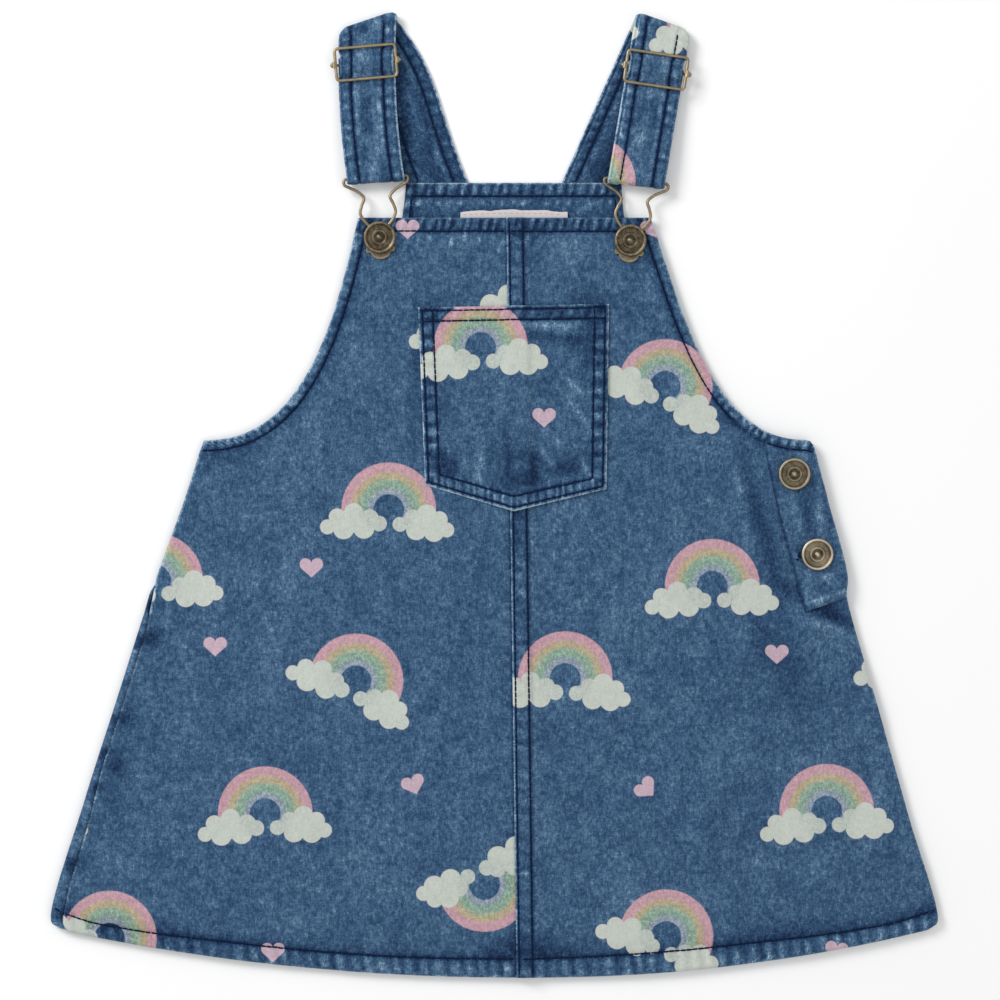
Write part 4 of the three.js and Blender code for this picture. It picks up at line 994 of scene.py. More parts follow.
def bandPiece():
    line = np.array(bandSizes["inner"])
    v = np.r_[0, 0.008, 0.02, np.linspace(0.04, 0.97, 56), 0.985, 1][:, None]
    u = np.r_[0, 0.02, 0.05, np.linspace(0.08, 0.95, 24), 0.975, 1][None]
    sideLine = alongCurve(rightSide, 1400)
    sideLine = sideLine[sideLine[:, 1] > -215]
    innerY = line[0, 1] + (line[-1, 1] - line[0, 1]) * v
    innerX = np.interp(innerY, line[:, 1], line[:, 0])
    outerY = bandSizes["lowRight"][1] + (rightSide[-1][1] - 0.3 - bandSizes["lowRight"][1]) * v
    outerX = np.interp(outerY, sideLine[:, 1], sideLine[:, 0]) - 0.1
    x, y = innerX + (outerX - innerX) * u, innerY + (outerY - innerY) * u
    arm, _ = cubic(armholes["frontRight"], np.linspace(0, 0.4, 80))
    y = np.minimum(y, np.interp(x, arm[::-1, 0], arm[::-1, 1]) - 0.2)
    x, y = softCorner(x, y, rightSide[-1], (-0.75, -0.66), 1.5)
    fromTop = np.interp(x, arm[::-1, 0], arm[::-1, 1]) - y
    fromInner, fromOuter = (x - innerX) * 0.97, (outerX - x) * 0.97
    fromLow = v * 92
    base = dressSizes["frontTop"] + foldHeight(x, y) + bandSizes["gap"]
    soft = mottle(x, y, 26, 141)
    crease = patches(bandCreases, x, y)
    height = base + dressSizes["cloth"] + 0.3 * soft + 0.4 * bump(fromLow, 5, 4) + 0.45 * crease
    rope = pucker(x + fromTop * 0.4, 5.2, 143)
    band = strip(fromTop, 0.2, 1.3, 4.4, 6.2)
    height += band * (0.3 + 0.35 * rope) - 0.4 * bump(fromTop, 5.4, 0.8)
    height -= 0.7 * fadeOut(np.minimum(fromOuter, fromTop), 0, 1.2) + 0.9 * fadeOut(fromInner, 0, 1.5)
    height -= 0.5 * fadeOut(fromLow, 0, 1.0)
    smudge = 0.5 + 0.5 * mottle(x, y, 9, 145)
    pale = band * (0.08 + 1.0 * rubbed(rope)) * (0.4 + 0.6 * smudge) + 0.35 * fadeOut(fromOuter, 0.3, 1.6)
    pale += 0.4 * bump(fromOuter, 6, 3.5) * np.clip(mottle(x, y, 20, 147), 0, 1)
    pale += 0.55 * bump(fromLow, 4, 2.0) * (0.4 + 0.6 * smudge)
    pale += 0.25 * bump(fromInner, 7, 5) * np.clip(mottle(x, y, 18, 149), 0, 1)
    # the inner edge, the low hollows and the crease valleys are painted darker, as shade
    dark = band * 0.8 * rubbed(-rope) + 1.0 * bump(fromTop, 5.4, 0.9) + 0.75 * fadeOut(fromInner, 0.2, 1.8)
    dark += 0.25 * fadeOut(fromLow, 0.2, 1.4) + 0.25 * np.clip(-soft, 0, 1) + 0.6 * np.clip(-crease, 0, 1)
    pale += 0.36 * np.clip(crease, 0, 1) * (0.6 + 0.4 * smudge)
    edge = 0.5 * fadeOut(np.minimum(fromOuter, fromTop), 0.2, 1.0) * smudge
    edge += 0.6 * fadeOut(fromLow, 0.3, 1.2) * smudge
    upper, lower = np.stack([x, y, height], 2), np.stack([x, y, np.minimum(base, height - 0.6)], 2)
    return clothWall("buttonhole_band", upper, lower, plainDenim, pale, dark, np.stack([x, y], 2), edge=edge)


holeBand = bandPiece()


labelSizes = {"left": -17.5, "width": 55.8, "top": 147.0, "depth": 34.0, "seam": 1.6}


def labelPiece():
    left, width, top, depth = [labelSizes[key] for key in ("left", "width", "top", "depth")]
    v, u = np.linspace(0, 1, 24)[:, None], np.linspace(0, 1, 40)[None]
    x, y = left + width * u + 0 * v, top - depth * (1 - v) + 0 * u
    y = y + (1.1 * np.sin(np.pi * u) + 0.35 * waver(x[:1], 19, 155)) * v ** 2
    z = 2.35 + 0.12 * mottle(x, y, 16, 151) - 0.3 * fadeOut(top - y, 0, 0.8)
    blank = np.zeros_like(x)
    upper, lower = np.stack([x, y, z], 2), np.stack([x, y, z * 0 + 1.5], 2)
    return clothWall("neck_label_tape", upper, lower, labelTape, blank, blank, np.stack([x, y], 2),
                     inside=blank)


neckLabel = labelPiece()
print("pocket, band and label cut")


# straps: a ribbon folded at the top, round the hook's bar and back up to the slider

strapSizes = {
    "width": 30.0, "cloth": 1.8, "rowIn": 6.5,
    "frontHeight": 5.2, "returnHeight": 3.05, "barHeight": 5.175, "barAlong": 31.5,
    "bulge": 1.95,
    "left": {"fold": (-65.7, 243.9, 18.5), "backEnd": (-30.0, 162.55), "bow": -4.0, "backBow": 4.8,
             "slider": (-66.6, 224.1, 5.0), "button": (-59.4, 133.3, 4.0)},
    "right": {"fold": (87.7, 243.3, -19.6), "backEnd": (51.9, 162.55), "bow": 0.0, "backBow": 0.0,
              "slider": (84.2, 220.4, -8.4), "button": (70.8, 131.7, -6.0)},
}


def heading(degrees):
    return np.array([math.cos(math.radians(degrees)), math.sin(math.radians(degrees))])


def strapStations(strap):
    fold, foldTurn = np.array(strap["fold"][:2]), strap["fold"][2]
    foldAcross, foldOut = heading(foldTurn), heading(foldTurn + 90)
    backEnd = np.array(strap["backEnd"])
    run = (fold - backEnd) / np.linalg.norm(fold - backEnd)
    backNormal = np.array([run[1], -run[0]])
    barTurn = strap["button"][2]
    bar = np.array(strap["button"][:2]) + strapSizes["barAlong"] * heading(barTurn + 90)
    barAcross, barOut = heading(barTurn), heading(barTurn - 90)
    pull = (fold + bar) / 2 + np.array([strap["bow"], 0])
    t = np.linspace(0, 1, 400)[:, None]
    front = (1 - t) ** 2 * fold + 2 * (1 - t) * t * pull + t * t * bar
    frontLength = lineLength(front)
    gone = lengthAlong(front)
    tangents = unitRows(np.gradient(front, axis=0))
    sliderAcross = heading(strap["slider"][2])
    sliderAt = np.linalg.norm(fold - np.array(strap["slider"][:2]))
    low = strapSizes["cloth"] / 2
    foldRadius = (strapSizes["frontHeight"] - low) / 2
    loopTop = strapSizes["barHeight"] * 2 - strapSizes["returnHeight"]
    loopRadius = (loopTop - strapSizes["returnHeight"]) / 2
    halfWide = strapSizes["width"] / 2
    rows = []

    def slanted(across, normal):  # half the ribbon, measured along a slanting row
        return halfWide / abs(float(across @ normal))

    def add(middle, height, across, halfWidth, part):
        rows.append((*middle, height, *(across / np.linalg.norm(across) * halfWidth), part))

    def frontAt(length):
        at = np.array([np.interp(length, gone, front[:, k]) for k in (0, 1)])
        way = np.array([np.interp(length, gone, tangents[:, k]) for k in (0, 1)])
        return at, np.array([-way[1], way[0]])

    for share in np.linspace(0, 1, 44):
        across = np.array([1.0, 0]) * (1 - share) + foldAcross * share
        across /= np.linalg.norm(across)
        bowed = np.array([strap["backBow"] * math.sin(math.pi * share ** 1.8), 0])
        add(backEnd + (fold - backEnd) * share * 0.985 + bowed, low, across, slanted(across, backNormal), 0)
    foldHalf = slanted(foldAcross, frontAt(0)[1])
    for angle in np.linspace(15, 168, 14):
        turn = math.radians(angle)
        add(fold + foldOut * foldRadius * math.sin(turn), low + foldRadius * (1 - math.cos(turn)), foldAcross,
            foldHalf - 0.9 * math.sin(turn) ** 2, 0.5)
    for length in np.r_[np.linspace(1.5, sliderAt - 9, 6), np.linspace(sliderAt - 8, sliderAt + 8, 23),
                        np.linspace(sliderAt + 9, frontLength - 0.6, 38)]:
        near = abs(length - sliderAt)
        raised = strapSizes["bulge"] * math.cos(math.pi * near / 13) ** 2 if near < 6.5 else 0
        climb = float(ease(length, sliderAt + 9, frontLength - 2)) * (loopTop - strapSizes["frontHeight"])
        middle, normal = frontAt(length)
        share = float(ease(length, 0, sliderAt - 9))
        across = foldAcross * (1 - share) + sliderAcross * share
        share = float(ease(length, sliderAt + 20, frontLength))
        across = across * (1 - share) + barAcross * share
        across /= np.linalg.norm(across)
        squeeze = 0.2 + 0.9 * float(fadeOut(near, 5, 7.5))
        add(middle, strapSizes["frontHeight"] + raised + climb, across, slanted(across, normal) - squeeze, 1)
    for angle in np.linspace(15, 165, 12):
        turn = math.radians(angle)
        add(bar + barOut * loopRadius * math.sin(turn), strapSizes["barHeight"] + loopRadius * math.cos(turn),
            barAcross, halfWide, 1)
    for length in np.linspace(frontLength - 0.6, sliderAt - 2.5, 20):
        middle, normal = frontAt(length)
        share = float(ease(frontLength - length, 0, 30))
        across = barAcross * (1 - share) + normal * share
        add(middle, strapSizes["returnHeight"], across, halfWide - 0.2, 2)
    return np.array(rows)


def strapPiece(name, strap, seed, neckSide, stitchWorn):  # neckSide: 1 or -1, the edge toward the neck
    rows = strapStations(strap)
    at, across, part = rows[:, :3], np.c_[rows[:, 3:5], np.zeros(len(rows))], rows[:, 5]
    along = unitRows(np.gradient(at, axis=0))
    normal = unitRows(np.cross(unitRows(across), along))
    edgeShares = np.r_[0, 0.08, 0.16, 0.24, 0.31, 0.37, 0.42, 0.46, 0.49, 0.52, 0.545, 0.57, 0.595, 0.62,
                       0.65, 0.69, 0.74, 0.79, 0.84, 0.875, 0.9, 0.925, 0.95, 0.97, 0.985, 1]
    u = np.r_[-edgeShares[:0:-1], edgeShares]
    onBack = part[:, None] == 0
    s = lengthAlong(at)[:, None] + 0 * u
    fromEdge = (1 - np.abs(u))[None] * strapSizes["width"] / 2 + 0 * s
    hand = np.sign(u)[None] + 0 * s
    rope = np.where(hand < 0, pucker(s, 6.2, seed), pucker(s, 6.2, seed + 3))
    edgeBand = bump(fromEdge, 4.0, 2.6)
    groove = 0.5 * bump(fromEdge, 1.5, 0.5) + 1.15 * bump(fromEdge, strapSizes["rowIn"], 0.75)
    inAcross = u[None] * strapSizes["width"] / 2 + 0 * s
    cloudy = mottle(s, inAcross, 13, seed + 5)
    rise = 0.24 * edgeBand * rope + 0.15 * cloudy * bump(fromEdge, 15, 7) - 0.36 * groove + 0.15 * edgeBand
    thin = 0.62 * fadeOut(fromEdge, 0, 0.9)
    bend = np.exp(-((s - s[part == 0.5].mean()) / 4.5) ** 2)
    rise *= 1 - 0.9 * bend
    middle = at[:, None] + across[:, None] * u[None, :, None]
    foldOut = heading(strap["fold"][2] + 90)
    strong = hand * neckSide > 0
    drawn = np.where(strong, 0.7, 2.0) * bend * ease(np.abs(u)[None], 0.6, 1.0) ** 2
    middle[..., :2] -= drawn[..., None] * foldOut
    halfThick = strapSizes["cloth"] / 2
    rise = np.clip(rise, -0.4, 0.3)
    outside = middle - normal[:, None] * (halfThick + rise - thin)[..., None]
    outside[..., 2] = np.where(onBack, np.maximum(outside[..., 2], 0.0), outside[..., 2])
    inside = middle + normal[:, None] * (halfThick - thin * 0.4 + np.where(onBack, rise, 0))[..., None]
    smudge = 0.5 + 0.5 * mottle(s, inAcross, 6, seed + 7)
    streaks = mottle(s * 0.22 + 3 * u[None], inAcross, 7, seed + 11)
    pale = edgeBand * (0.12 + 0.6 * np.clip(rope, 0, 1)) * (0.4 + 0.6 * smudge)
    pale += 0.4 * bump(fromEdge, 8.8, 1.3) * (0.35 + 0.65 * smudge)
    pale += 0.32 * np.clip(streaks, 0, 1) * ease(fromEdge, 6.8, 9)
    pale += 0.25 * np.clip(cloudy, 0, 1) * bump(fromEdge, 13, 5)
    dark = 1.3 * bump(fromEdge, strapSizes["rowIn"], 1.0) * np.where(onBack, 0.7, 1.0)
    dark += 0.35 * bump(fromEdge, 1.5, 0.4) + edgeBand * 0.5 * np.clip(-rope, 0, 1)
    dark += 0.4 * np.clip(-streaks, 0, 1) * ease(fromEdge, 7, 9)
    dark += 0.6 * bump(fromEdge, 0.9, 0.55) * np.clip(pucker(s, 3.3, seed + 15), 0, 1)
    edge = fadeOut(fromEdge, 0.5, 1.1) * (0.6 + 0.5 * smudge) * np.where(strong, 1.25, 0.5)  # white there
    edge += stitchWorn * bump(fromEdge, 2.6, 0.5) * strong * (0.4 + 0.6 * smudge)
    # the back run is painted darker as shade, most near the fold where the front run lies over it
    covered = np.exp(-((s - s[part == 0].max()) / 60) ** 2)
    dark += np.where(onBack, 0.42 + 0.45 * covered * ~strong, 0.0)
    return clothWall(name, inside, outside, printedDenim, pale, dark, np.stack([inAcross, s], 2),
                     printed=True, edge=edge, below=(pale, dark, edge))


strapLeft = strapPiece("strap_left_ribbon", strapSizes["left"], 161, 1, 0.0)
strapRight = strapPiece("strap_right_ribbon", strapSizes["right"], 181, -1, 0.8)
print("straps folded")


# brass: sliders, hooks and tack buttons

def tube(path, radius, sides=14, closed=False):
    path = np.asarray(path, float)
    count = len(path)
    tangent = unitRows(np.roll(path, -1, 0) - np.roll(path, 1, 0) if closed else np.gradient(path, axis=0))
    side = unitRows(np.cross(tangent, [0.0, 0.0, 1.0]))
    up = np.cross(side, tangent)
    turn = np.linspace(0, 2 * np.pi, sides, endpoint=False)
    ring = side[:, None] * np.cos(turn)[None, :, None] + up[:, None] * np.sin(turn)[None, :, None]
    points = (path[:, None] + radius * ring).reshape(-1, 3)
    faces = []
    for i in range(count if closed else count - 1):
        for j in range(sides):
            a, b = i * sides + j, i * sides + (j + 1) % sides
            after = (i + 1) % count * sides
            faces.append((a, b, after + (j + 1) % sides, after + j))
    if not closed:
        faces.append(tuple(range(sides))[::-1])
        faces.append(tuple((count - 1) * sides + j for j in range(sides)))
    return points, faces


def ball(place, radius, stretch=1.0, rings=10, sides=16):
    points, faces = [(0.0, 0.0, -radius * stretch)], []
    for i in range(1, rings):
        angle = math.pi * i / rings
        out, up = radius * math.sin(angle), -radius * stretch * math.cos(angle)
        points += [(*(out * heading(360 * j / sides)), up) for j in range(sides)]
    points.append((0.0, 0.0, radius * stretch))
    last = len(points) - 1
    for j in range(sides):
        faces.append((0, 1 + (j + 1) % sides, 1 + j))
        faces.append((last, last - sides + j, last - sides + (j + 1) % sides))
        for i in range(rings - 2):
            a, b = 1 + i * sides + j, 1 + i * sides + (j + 1) % sides
            faces.append((a, b, b + sides, a + sides))
    return np.array(points) + np.array(place), faces


def joinParts(parts):
    points, faces, wear, first = [], [], [], 0
    for part in parts:
        points.append(part[0])
        faces += [tuple(int(k) + first for k in face) for face in part[1]]
        wear.append(part[2] if len(part) > 2 else np.tile([0.3, 0.15, 0, 1], (len(part[0]), 1)))
        first += len(part[0])
    return np.vstack(points), faces, np.vstack(wear)


def placeAt(points, place):
    x, y, turn = place
    across, along = heading(turn), heading(turn + 90)
    points = np.asarray(points, float)
    flat = points[:, :1] * across + points[:, 1:2] * along + np.array([x, y])
    return np.c_[flat, points[:, 2]]


sliderSizes = {"width": 33.0, "depth": 18.2, "wire": 1.5, "corner": 2.4, "height": 7.15, "nub": 1.3}


def frameRing(width, depth, corner, each=7):
    points = []
    for cx, cy, start in ((1, 1, 0), (-1, 1, 90), (-1, -1, 180), (1, -1, 270)):
        for angle in np.linspace(start, start + 90, each):
            turn = math.radians(angle)
            points.append(((width / 2 - corner) * cx + corner * math.cos(turn),
                           (depth / 2 - corner) * cy + corner * math.sin(turn)))
    return np.array(points)


def denseRing(ring, pitch=1.1):
    line = np.vstack([ring, ring[:1]])
    return resample(line, int(lineLength(line) / pitch))[:-1]


def sliderPiece(name, place):
    wire, height = sliderSizes["wire"], sliderSizes["height"]
    width, depth = sliderSizes["width"] - wire, sliderSizes["depth"] - wire
    ring = denseRing(frameRing(width, depth, sliderSizes["corner"] - wire / 2))
    tilt = 0.12 * np.sin(ring[:, 0] * 0.35)
    frameWire = tube(np.c_[ring, np.full(len(ring), height) + tilt], wire / 2 + 0.05, 14, closed=True)
    flatter = frameWire[0].copy()
    flatter[:, 2] = height + (flatter[:, 2] - height) * 0.92
    nubX = sliderSizes["width"] / 2 + 0.8
    bar = tube([(x, 0, height - 2) for x in np.linspace(-nubX, nubX, 24)], wire / 2, 12)
    parts = [(flatter, frameWire[1]), bar]
    for hand in (-1, 1):
        knob = ball((hand * nubX, 0, height - 0.75), sliderSizes["nub"], 1.15)
        sleeve = tube([(hand * (nubX - 0.9), y, height + 0.18) for y in np.linspace(-1.6, 1.6, 7)], 0.98, 12)
        parts += [knob, sleeve]
    points, faces, wear = joinParts(parts)
    # the wires are painted paler on top as a highlight and darker below as shade
    raised = ease(points[:, 2], height - 0.2, height + 0.75)
    wear[:, 0], wear[:, 1] = 0.15 + 0.75 * raised, 0.5 * (1 - raised)
    return newMesh(name, placeAt(points, place), faces, agedBrass, wear=wear)


hookSizes = {
    "wire": 1.6,
    "bends": [  # across, along, height
        (4.7, 6, 5.9), (7.6, 9.4, 5.9), (9.2, 13, 5.9), (8.2, 17.2, 5.8), (6.8, 21, 5.5), (9.4, 24.2, 5.3),
        (14, 26.9, 5.175), (16.4, 28.4, 5.175), (16.6, 30.6, 5.175), (15, 31.5, 5.175), (8, 31.5, 5.175),
    ],
    "plate": [(-6.6, -4), (-6, 6.5), (6, 6.5), (6.6, -4), (7.8, -6.2), (7.0, -7.6), (5.2, -7.4)],
    "lobe": [(5.2, -7.4), (4.6, -12.6), (-4.6, -12.6), (-5.2, -7.4)],
    # the rounded edge is paler, rubbed brass with painted highlight; the underside is darker, painted shade
    "skin": [  # share of the way out, height, pale, dark: over the top, round the edge and back below
        (0, 6.0, 0, 0.7), (0.5, 6.0, 0.2, 0.5), (0.72, 6.0, 0.3, 0.3), (0.86, 6.05, 0.5, 0.1),
        (0.93, 6.12, 0.9, 0), (0.985, 6.1, 0.9, 0), (1.0, 5.85, 0.5, 0.2), (1.0, 5.35, 0.1, 0.6),
        (0.98, 5.12, 0, 0.8), (0.5, 5.12, 0, 0.9), (0, 5.12, 0, 0.9),
    ],
    "hole": 3.0,
}


def hookPiece(name, place):
    right = np.array(hookSizes["bends"], float)
    left = right[::-1] * np.array([-1, 1, 1])
    path = alongCurve(np.vstack([right, left]), 170)
    wire = tube(path, hookSizes["wire"] / 2, 14)
    lobe, _ = cubic(hookSizes["lobe"], np.linspace(0, 1, 20))
    outline = np.vstack([hookSizes["plate"], lobe[1:-1], [(-5.2, -7.4), (-7.0, -7.6), (-7.8, -6.2)]])
    outline = resample(np.vstack([outline, outline[:1]]), 150)[:-1]
    toward = np.arctan2(outline[:, 1] + 1.5, outline[:, 0])
    hole = hookSizes["hole"] * np.stack([np.cos(toward), np.sin(toward)], 1)
    rings, wear = [], []
    for share, height, pale, dark in hookSizes["skin"]:
        rings.append(np.c_[hole + (outline - hole) * share, np.full(len(outline), height)])
        wear.append(np.tile([pale, dark, 0, 1], (len(outline), 1)))
    count, faces = len(outline), []
    for i in range(len(rings)):
        for j in range(count):
            a, b = i * count + j, i * count + (j + 1) % count
            upper = (i + 1) % len(rings) * count
            faces.append((a, upper + j, upper + (j + 1) % count, b))
    plate = (np.vstack(rings), faces, np.vstack(wear))
    wireHighlight = np.tile([0.4, 0.1, 0, 1], (len(wire[0]), 1))
    # the wire is painted paler where it rises, as a highlight
    wireHighlight[:, 0] = 0.15 + 0.7 * ease(wire[0][:, 2], 5.4, 6.5)
    points, faces, wear = joinParts([(*wire, wireHighlight), plate])
    return newMesh(name, placeAt(points, place), faces, agedBrass, wear=wear)


buttonSizes = {
    "bibBase": 5.1, "bibPost": 1.9,
    "sideGap": 0.4, "sidePost": 0.6,
    "head": [  # out, up, pale, dark
        (0, 1.75, 0.9, 0), (0.6, 1.72, 0.8, 0.1), (1.1, 1.5, 0.4, 0.4), (1.6, 1.25, 0, 0.95),
        (2.4, 1.2, 0, 1.0), (2.9, 1.26, 0.1, 0.75), (3.2, 1.38, 0.45, 0.25), (3.6, 1.42, 0.5, 0.2),
        (3.95, 1.34, 0.2, 0.6),
        (4.3, 1.2, 0, 0.95), (4.6, 1.24, 0.5, 0.3), (4.9, 1.18, 0, 1.0), (5.3, 1.24, 0.5, 0.35),
        (5.6, 1.18, 0, 1.0), (6.0, 1.24, 0.45, 0.4), (6.3, 1.2, 0, 1.0), (6.6, 1.3, 0.1, 0.85),
        (6.95, 1.5, 0.3, 0.5), (7.25, 1.66, 0.8, 0.05), (7.6, 1.7, 0.85, 0), (7.95, 1.6, 0.7, 0),
        (8.2, 1.3, 0.45, 0.2), (8.3, 0.95, 0.2, 0.5), (8.2, 0.6, 0, 0.8), (7.6, 0.25, 0, 0.9),
        (5.0, 0.1, 0, 0.9), (2.4, 0.0, 0, 0.9),
    ],
}


# worn sets how bright a button is: rubbed brass with painted highlight on its centre, rim and grains
def buttonPiece(name, place, base, post, seed, worn=0.0):
    local = np.random.default_rng(seed)
    sides, rings, wear, faces = 72, [], [], []
    turn = np.linspace(0, 2 * np.pi, sides, endpoint=False)
    profile = [row for row in buttonSizes["head"] if row[0] > 0]
    profile.append((2.4, -post, 0, 0.9))
    smudge = [0.5 + 0.5 * waver(turn * 8, 17, seed + k) for k in range(2)]
    for out, up, pale, dark in profile:
        grain = 0.05 * np.sin(turn * 36 + out * 5) * (4.5 < out < 6.7)
        rings.append(np.c_[out * np.cos(turn), out * np.sin(turn), np.full(sides, base + post + up) + grain])
        # side paints reflection sectors round the head, paler and darker by turns
        side = 1 + 0.35 * worn * np.sin(2 * turn + seed)
        shine = (pale * (0.5 + 1.1 * worn) + 0.2 * worn) * (0.6 + 0.6 * smudge[0]) * side
        sootAndShade = (dark * (1.25 - 0.35 * worn) + 0.22 * (1 - worn)) * (0.75 + 0.35 * smudge[1]) * (2 - side)
        layers = [np.clip(shine, 0, 1), np.clip(sootAndShade, 0, 1), np.full(sides, worn * pale ** 2 * side)]
        wear.append(np.stack([*layers, np.ones(sides)], 1))
    for i in range(len(rings) - 1):
        for j in range(sides):
            a, b = i * sides + j, i * sides + (j + 1) % sides
            faces.append((a, a + sides, b + sides, b))
    points = np.vstack(rings + [np.array([[0, 0, base + post + 1.76], [0, 0, base]])])
    wear = np.vstack(wear + [np.array([[0.9, 0, worn, 1], [0, 0.9, 0, 1]])])
    top, under, last = len(points) - 2, len(points) - 1, (len(rings) - 1) * sides
    for j in range(sides):
        faces.append((top, j, (j + 1) % sides))
        faces.append((under, last + (j + 1) % sides, last + j))
    parts = [(points, faces, wear)]
    for ring, count in ((5.0, 30), (5.75, 34)):  # grains in the sunk ring
        for k in range(count):
            angle = 2 * math.pi * k / count + local.uniform(-0.03, 0.03)
            grain = ball((ring * math.cos(angle), ring * math.sin(angle), base + post + 1.12), 0.27, 0.8, 5, 8)
            tint = [0.30 + 0.4 * worn, 0.45 * (1 - 0.7 * worn), 0, 1]
            parts.append((*grain, np.tile(tint, (len(grain[0]), 1))))
    points, faces, wear = joinParts(parts)
    return newMesh(name, placeAt(points, place), faces, agedBrass, wear=wear)


sideButtons = {  # x, y, turn, how bright
    "upper": (155.9, 10.4, 20.0, 0.4),
    "lower": (167.8, -31.3, 75.0, 0.85),
}
brassPieces = {}
for hand in ("left", "right"):
    brassPieces["slider_" + hand] = sliderPiece("slider_wire_" + hand, strapSizes[hand]["slider"])
    brassPieces["hook_" + hand] = hookPiece("bib_hook_" + hand, strapSizes[hand]["button"])
    brassPieces["bib_button_" + hand] = buttonPiece("tack_button_" + hand, strapSizes[hand]["button"],
                                                    buttonSizes["bibBase"], buttonSizes["bibPost"], len(hand))
for level, (*place, bright) in sideButtons.items():
    base = dressSizes["frontTop"] + float(foldHeight(np.array(place[0]), np.array(place[1])))
    base += bandSizes["gap"] + dressSizes["cloth"] + buttonSizes["sideGap"]
    brassPieces["side_button_" + level] = buttonPiece("side_tack_button_" + level, place, base,
                                                      buttonSizes["sidePost"], len(level) + 20, bright)
print("brass made")


# stitches: short lengths of thread laid on the cloth below them

threadSizes = {"long": 3.1, "pitch": 3.05, "thick": 0.47}


def surfaceOf(*covered):
    points, faces, first = [], [], 0
    for piece in covered:
        mesh = piece.data
        flat = np.empty(len(mesh.vertices) * 3, np.float32)
        mesh.vertices.foreach_get("co", flat)
        points.append(flat.reshape(-1, 3) / mm)
        faces += [tuple(k + first for k in face.vertices) for face in mesh.polygons]
        first += len(mesh.vertices)
    return BVHTree.FromPolygons(np.vstack(points).tolist(), faces)


def topOf(tree, x, y, ceiling=40.0):
    hit = tree.ray_cast(Vector((float(x), float(y), ceiling)), Vector((0, 0, -1)))
    return None if hit[0] is None else hit[0].z


def sewLines(name, tree, lines, size=None, ceiling=40.0, floor=-1.0, look=navyThread):
    sizes = {**threadSizes, **(size or {})}
    local = np.random.default_rng(len(name) * 17 + len(lines))
    points, faces = [], []
    ends = np.array([0.6, 1.0, 1.0, 1.0, 0.6])
    sides = 6
    turn = np.linspace(0, 2 * np.pi, sides, endpoint=False)
    for line in lines:
        line = np.asarray(line, float)
        steps = lengthAlong(line)
        at = local.uniform(0.2, 1.2)
        while at + sizes["long"] < steps[-1]:
            span = sizes["long"] * local.uniform(0.9, 1.06)
            share = at + span * np.array([0, 0.18, 0.5, 0.82, 1.0])
            x, y = np.interp(share, steps, line[:, 0]), np.interp(share, steps, line[:, 1])
            shift = local.uniform(-0.08, 0.08)
            way = np.array([x[-1] - x[0], y[-1] - y[0]])
            way /= np.linalg.norm(way)
            side = np.array([-way[1], way[0]])
            x, y = x + side[0] * shift, y + side[1] * shift
            heights = [topOf(tree, a, b) for a, b in zip(x, y)]
            at += sizes["pitch"] * local.uniform(0.95, 1.05)
            if any(h is None or not floor < h < ceiling for h in heights):
                continue
            z = np.array(heights) + np.array([-0.08, 0.06, 0.1, 0.06, -0.08])
            first = len(points)
            for k in range(5):
                radius = sizes["thick"] * ends[k]
                for angle in turn:
                    out = math.cos(angle) * radius
                    up = math.sin(angle) * radius * 0.8
                    points.append((x[k] + side[0] * out, y[k] + side[1] * out, z[k] + up))
            for k in range(4):
                for j in range(sides):
                    a, b = first + k * sides + j, first + k * sides + (j + 1) % sides
                    faces.append((a, b, b + sides, a + sides))
            faces.append(tuple(first + j for j in range(sides))[::-1])
            faces.append(tuple(first + 4 * sides + j for j in range(sides)))
    return newMesh(name, np.array(points), faces, look)


def barTack(x, y, turn, long=6.0, wide=2.9):
    lines, way, side = [], heading(turn), heading(turn + 90)
    for k in range(9):
        near = np.array([x, y]) + way * (k / 8 - 0.5) * long
        lines.append([near - side * wide / 2, near + side * wide / 2])
    return lines


def hemLine(low, high, count=300):
    x = np.linspace(low, high, count)
    return np.stack([x, hemCurve(x) + hemLift(x)], 1)


def armLine(points, distance, low, high, count=160):
    place, tangent = cubic(points, np.linspace(low, high, count))
    hand = 1 if points[0][0] < 0 else -1
    normal = np.stack([tangent[:, 1], -tangent[:, 0]], 1) * hand
    return place + normal * distance


def seamLine(across, low, high, count=260):
    y = np.linspace(low, high, count)
    return np.stack([seamX(y) + across, y], 1)


clothTree = surfaceOf(frontLeft, frontRight)
leftLines = [
    hemLine(-226.5, seamX(-242) - 1.0),
    np.vstack([[(-152.6, 22.6)], armLine(armholes["frontLeft"], seamRows["armhole"], 0.03, 0.985)]),
    np.stack([np.linspace(-66, 5.5, 60), np.full(60, 136.8)], 1),
]
rightLines = [
    hemLine(seamX(-242) + 2.5, 226.5),
    armLine(armholes["frontRight"], seamRows["armhole"], 0.30, 0.985),
    np.stack([np.linspace(8.5, 77, 60), np.full(60, 136.6)], 1),
    *[seamLine(row, -250, 143) for row in seamRows["lap"]],
]
threads = {
    "front_left": sewLines("front_left_stitches", clothTree, leftLines),
    "front_right": sewLines("front_right_stitches", clothTree, rightLines),
}
leftTopX, leftTopY, leftLowX, leftLowY = pocketSizes["left"]
rightTopX, rightTopY, rightLowX, rightLowY = pocketSizes["right"]


def pocketLine(inset):
    pointX, pointY = pocketSizes["point"]
    corners = [(leftTopX + inset, leftTopY - 0.4), (leftLowX + inset, leftLowY + inset * 0.7),
               (pointX, pointY + inset * 1.04),
               (rightLowX - inset, rightLowY + inset * 0.7), (rightTopX - inset, rightTopY - 0.4)]
    return resample(np.array(corners, float), 400)


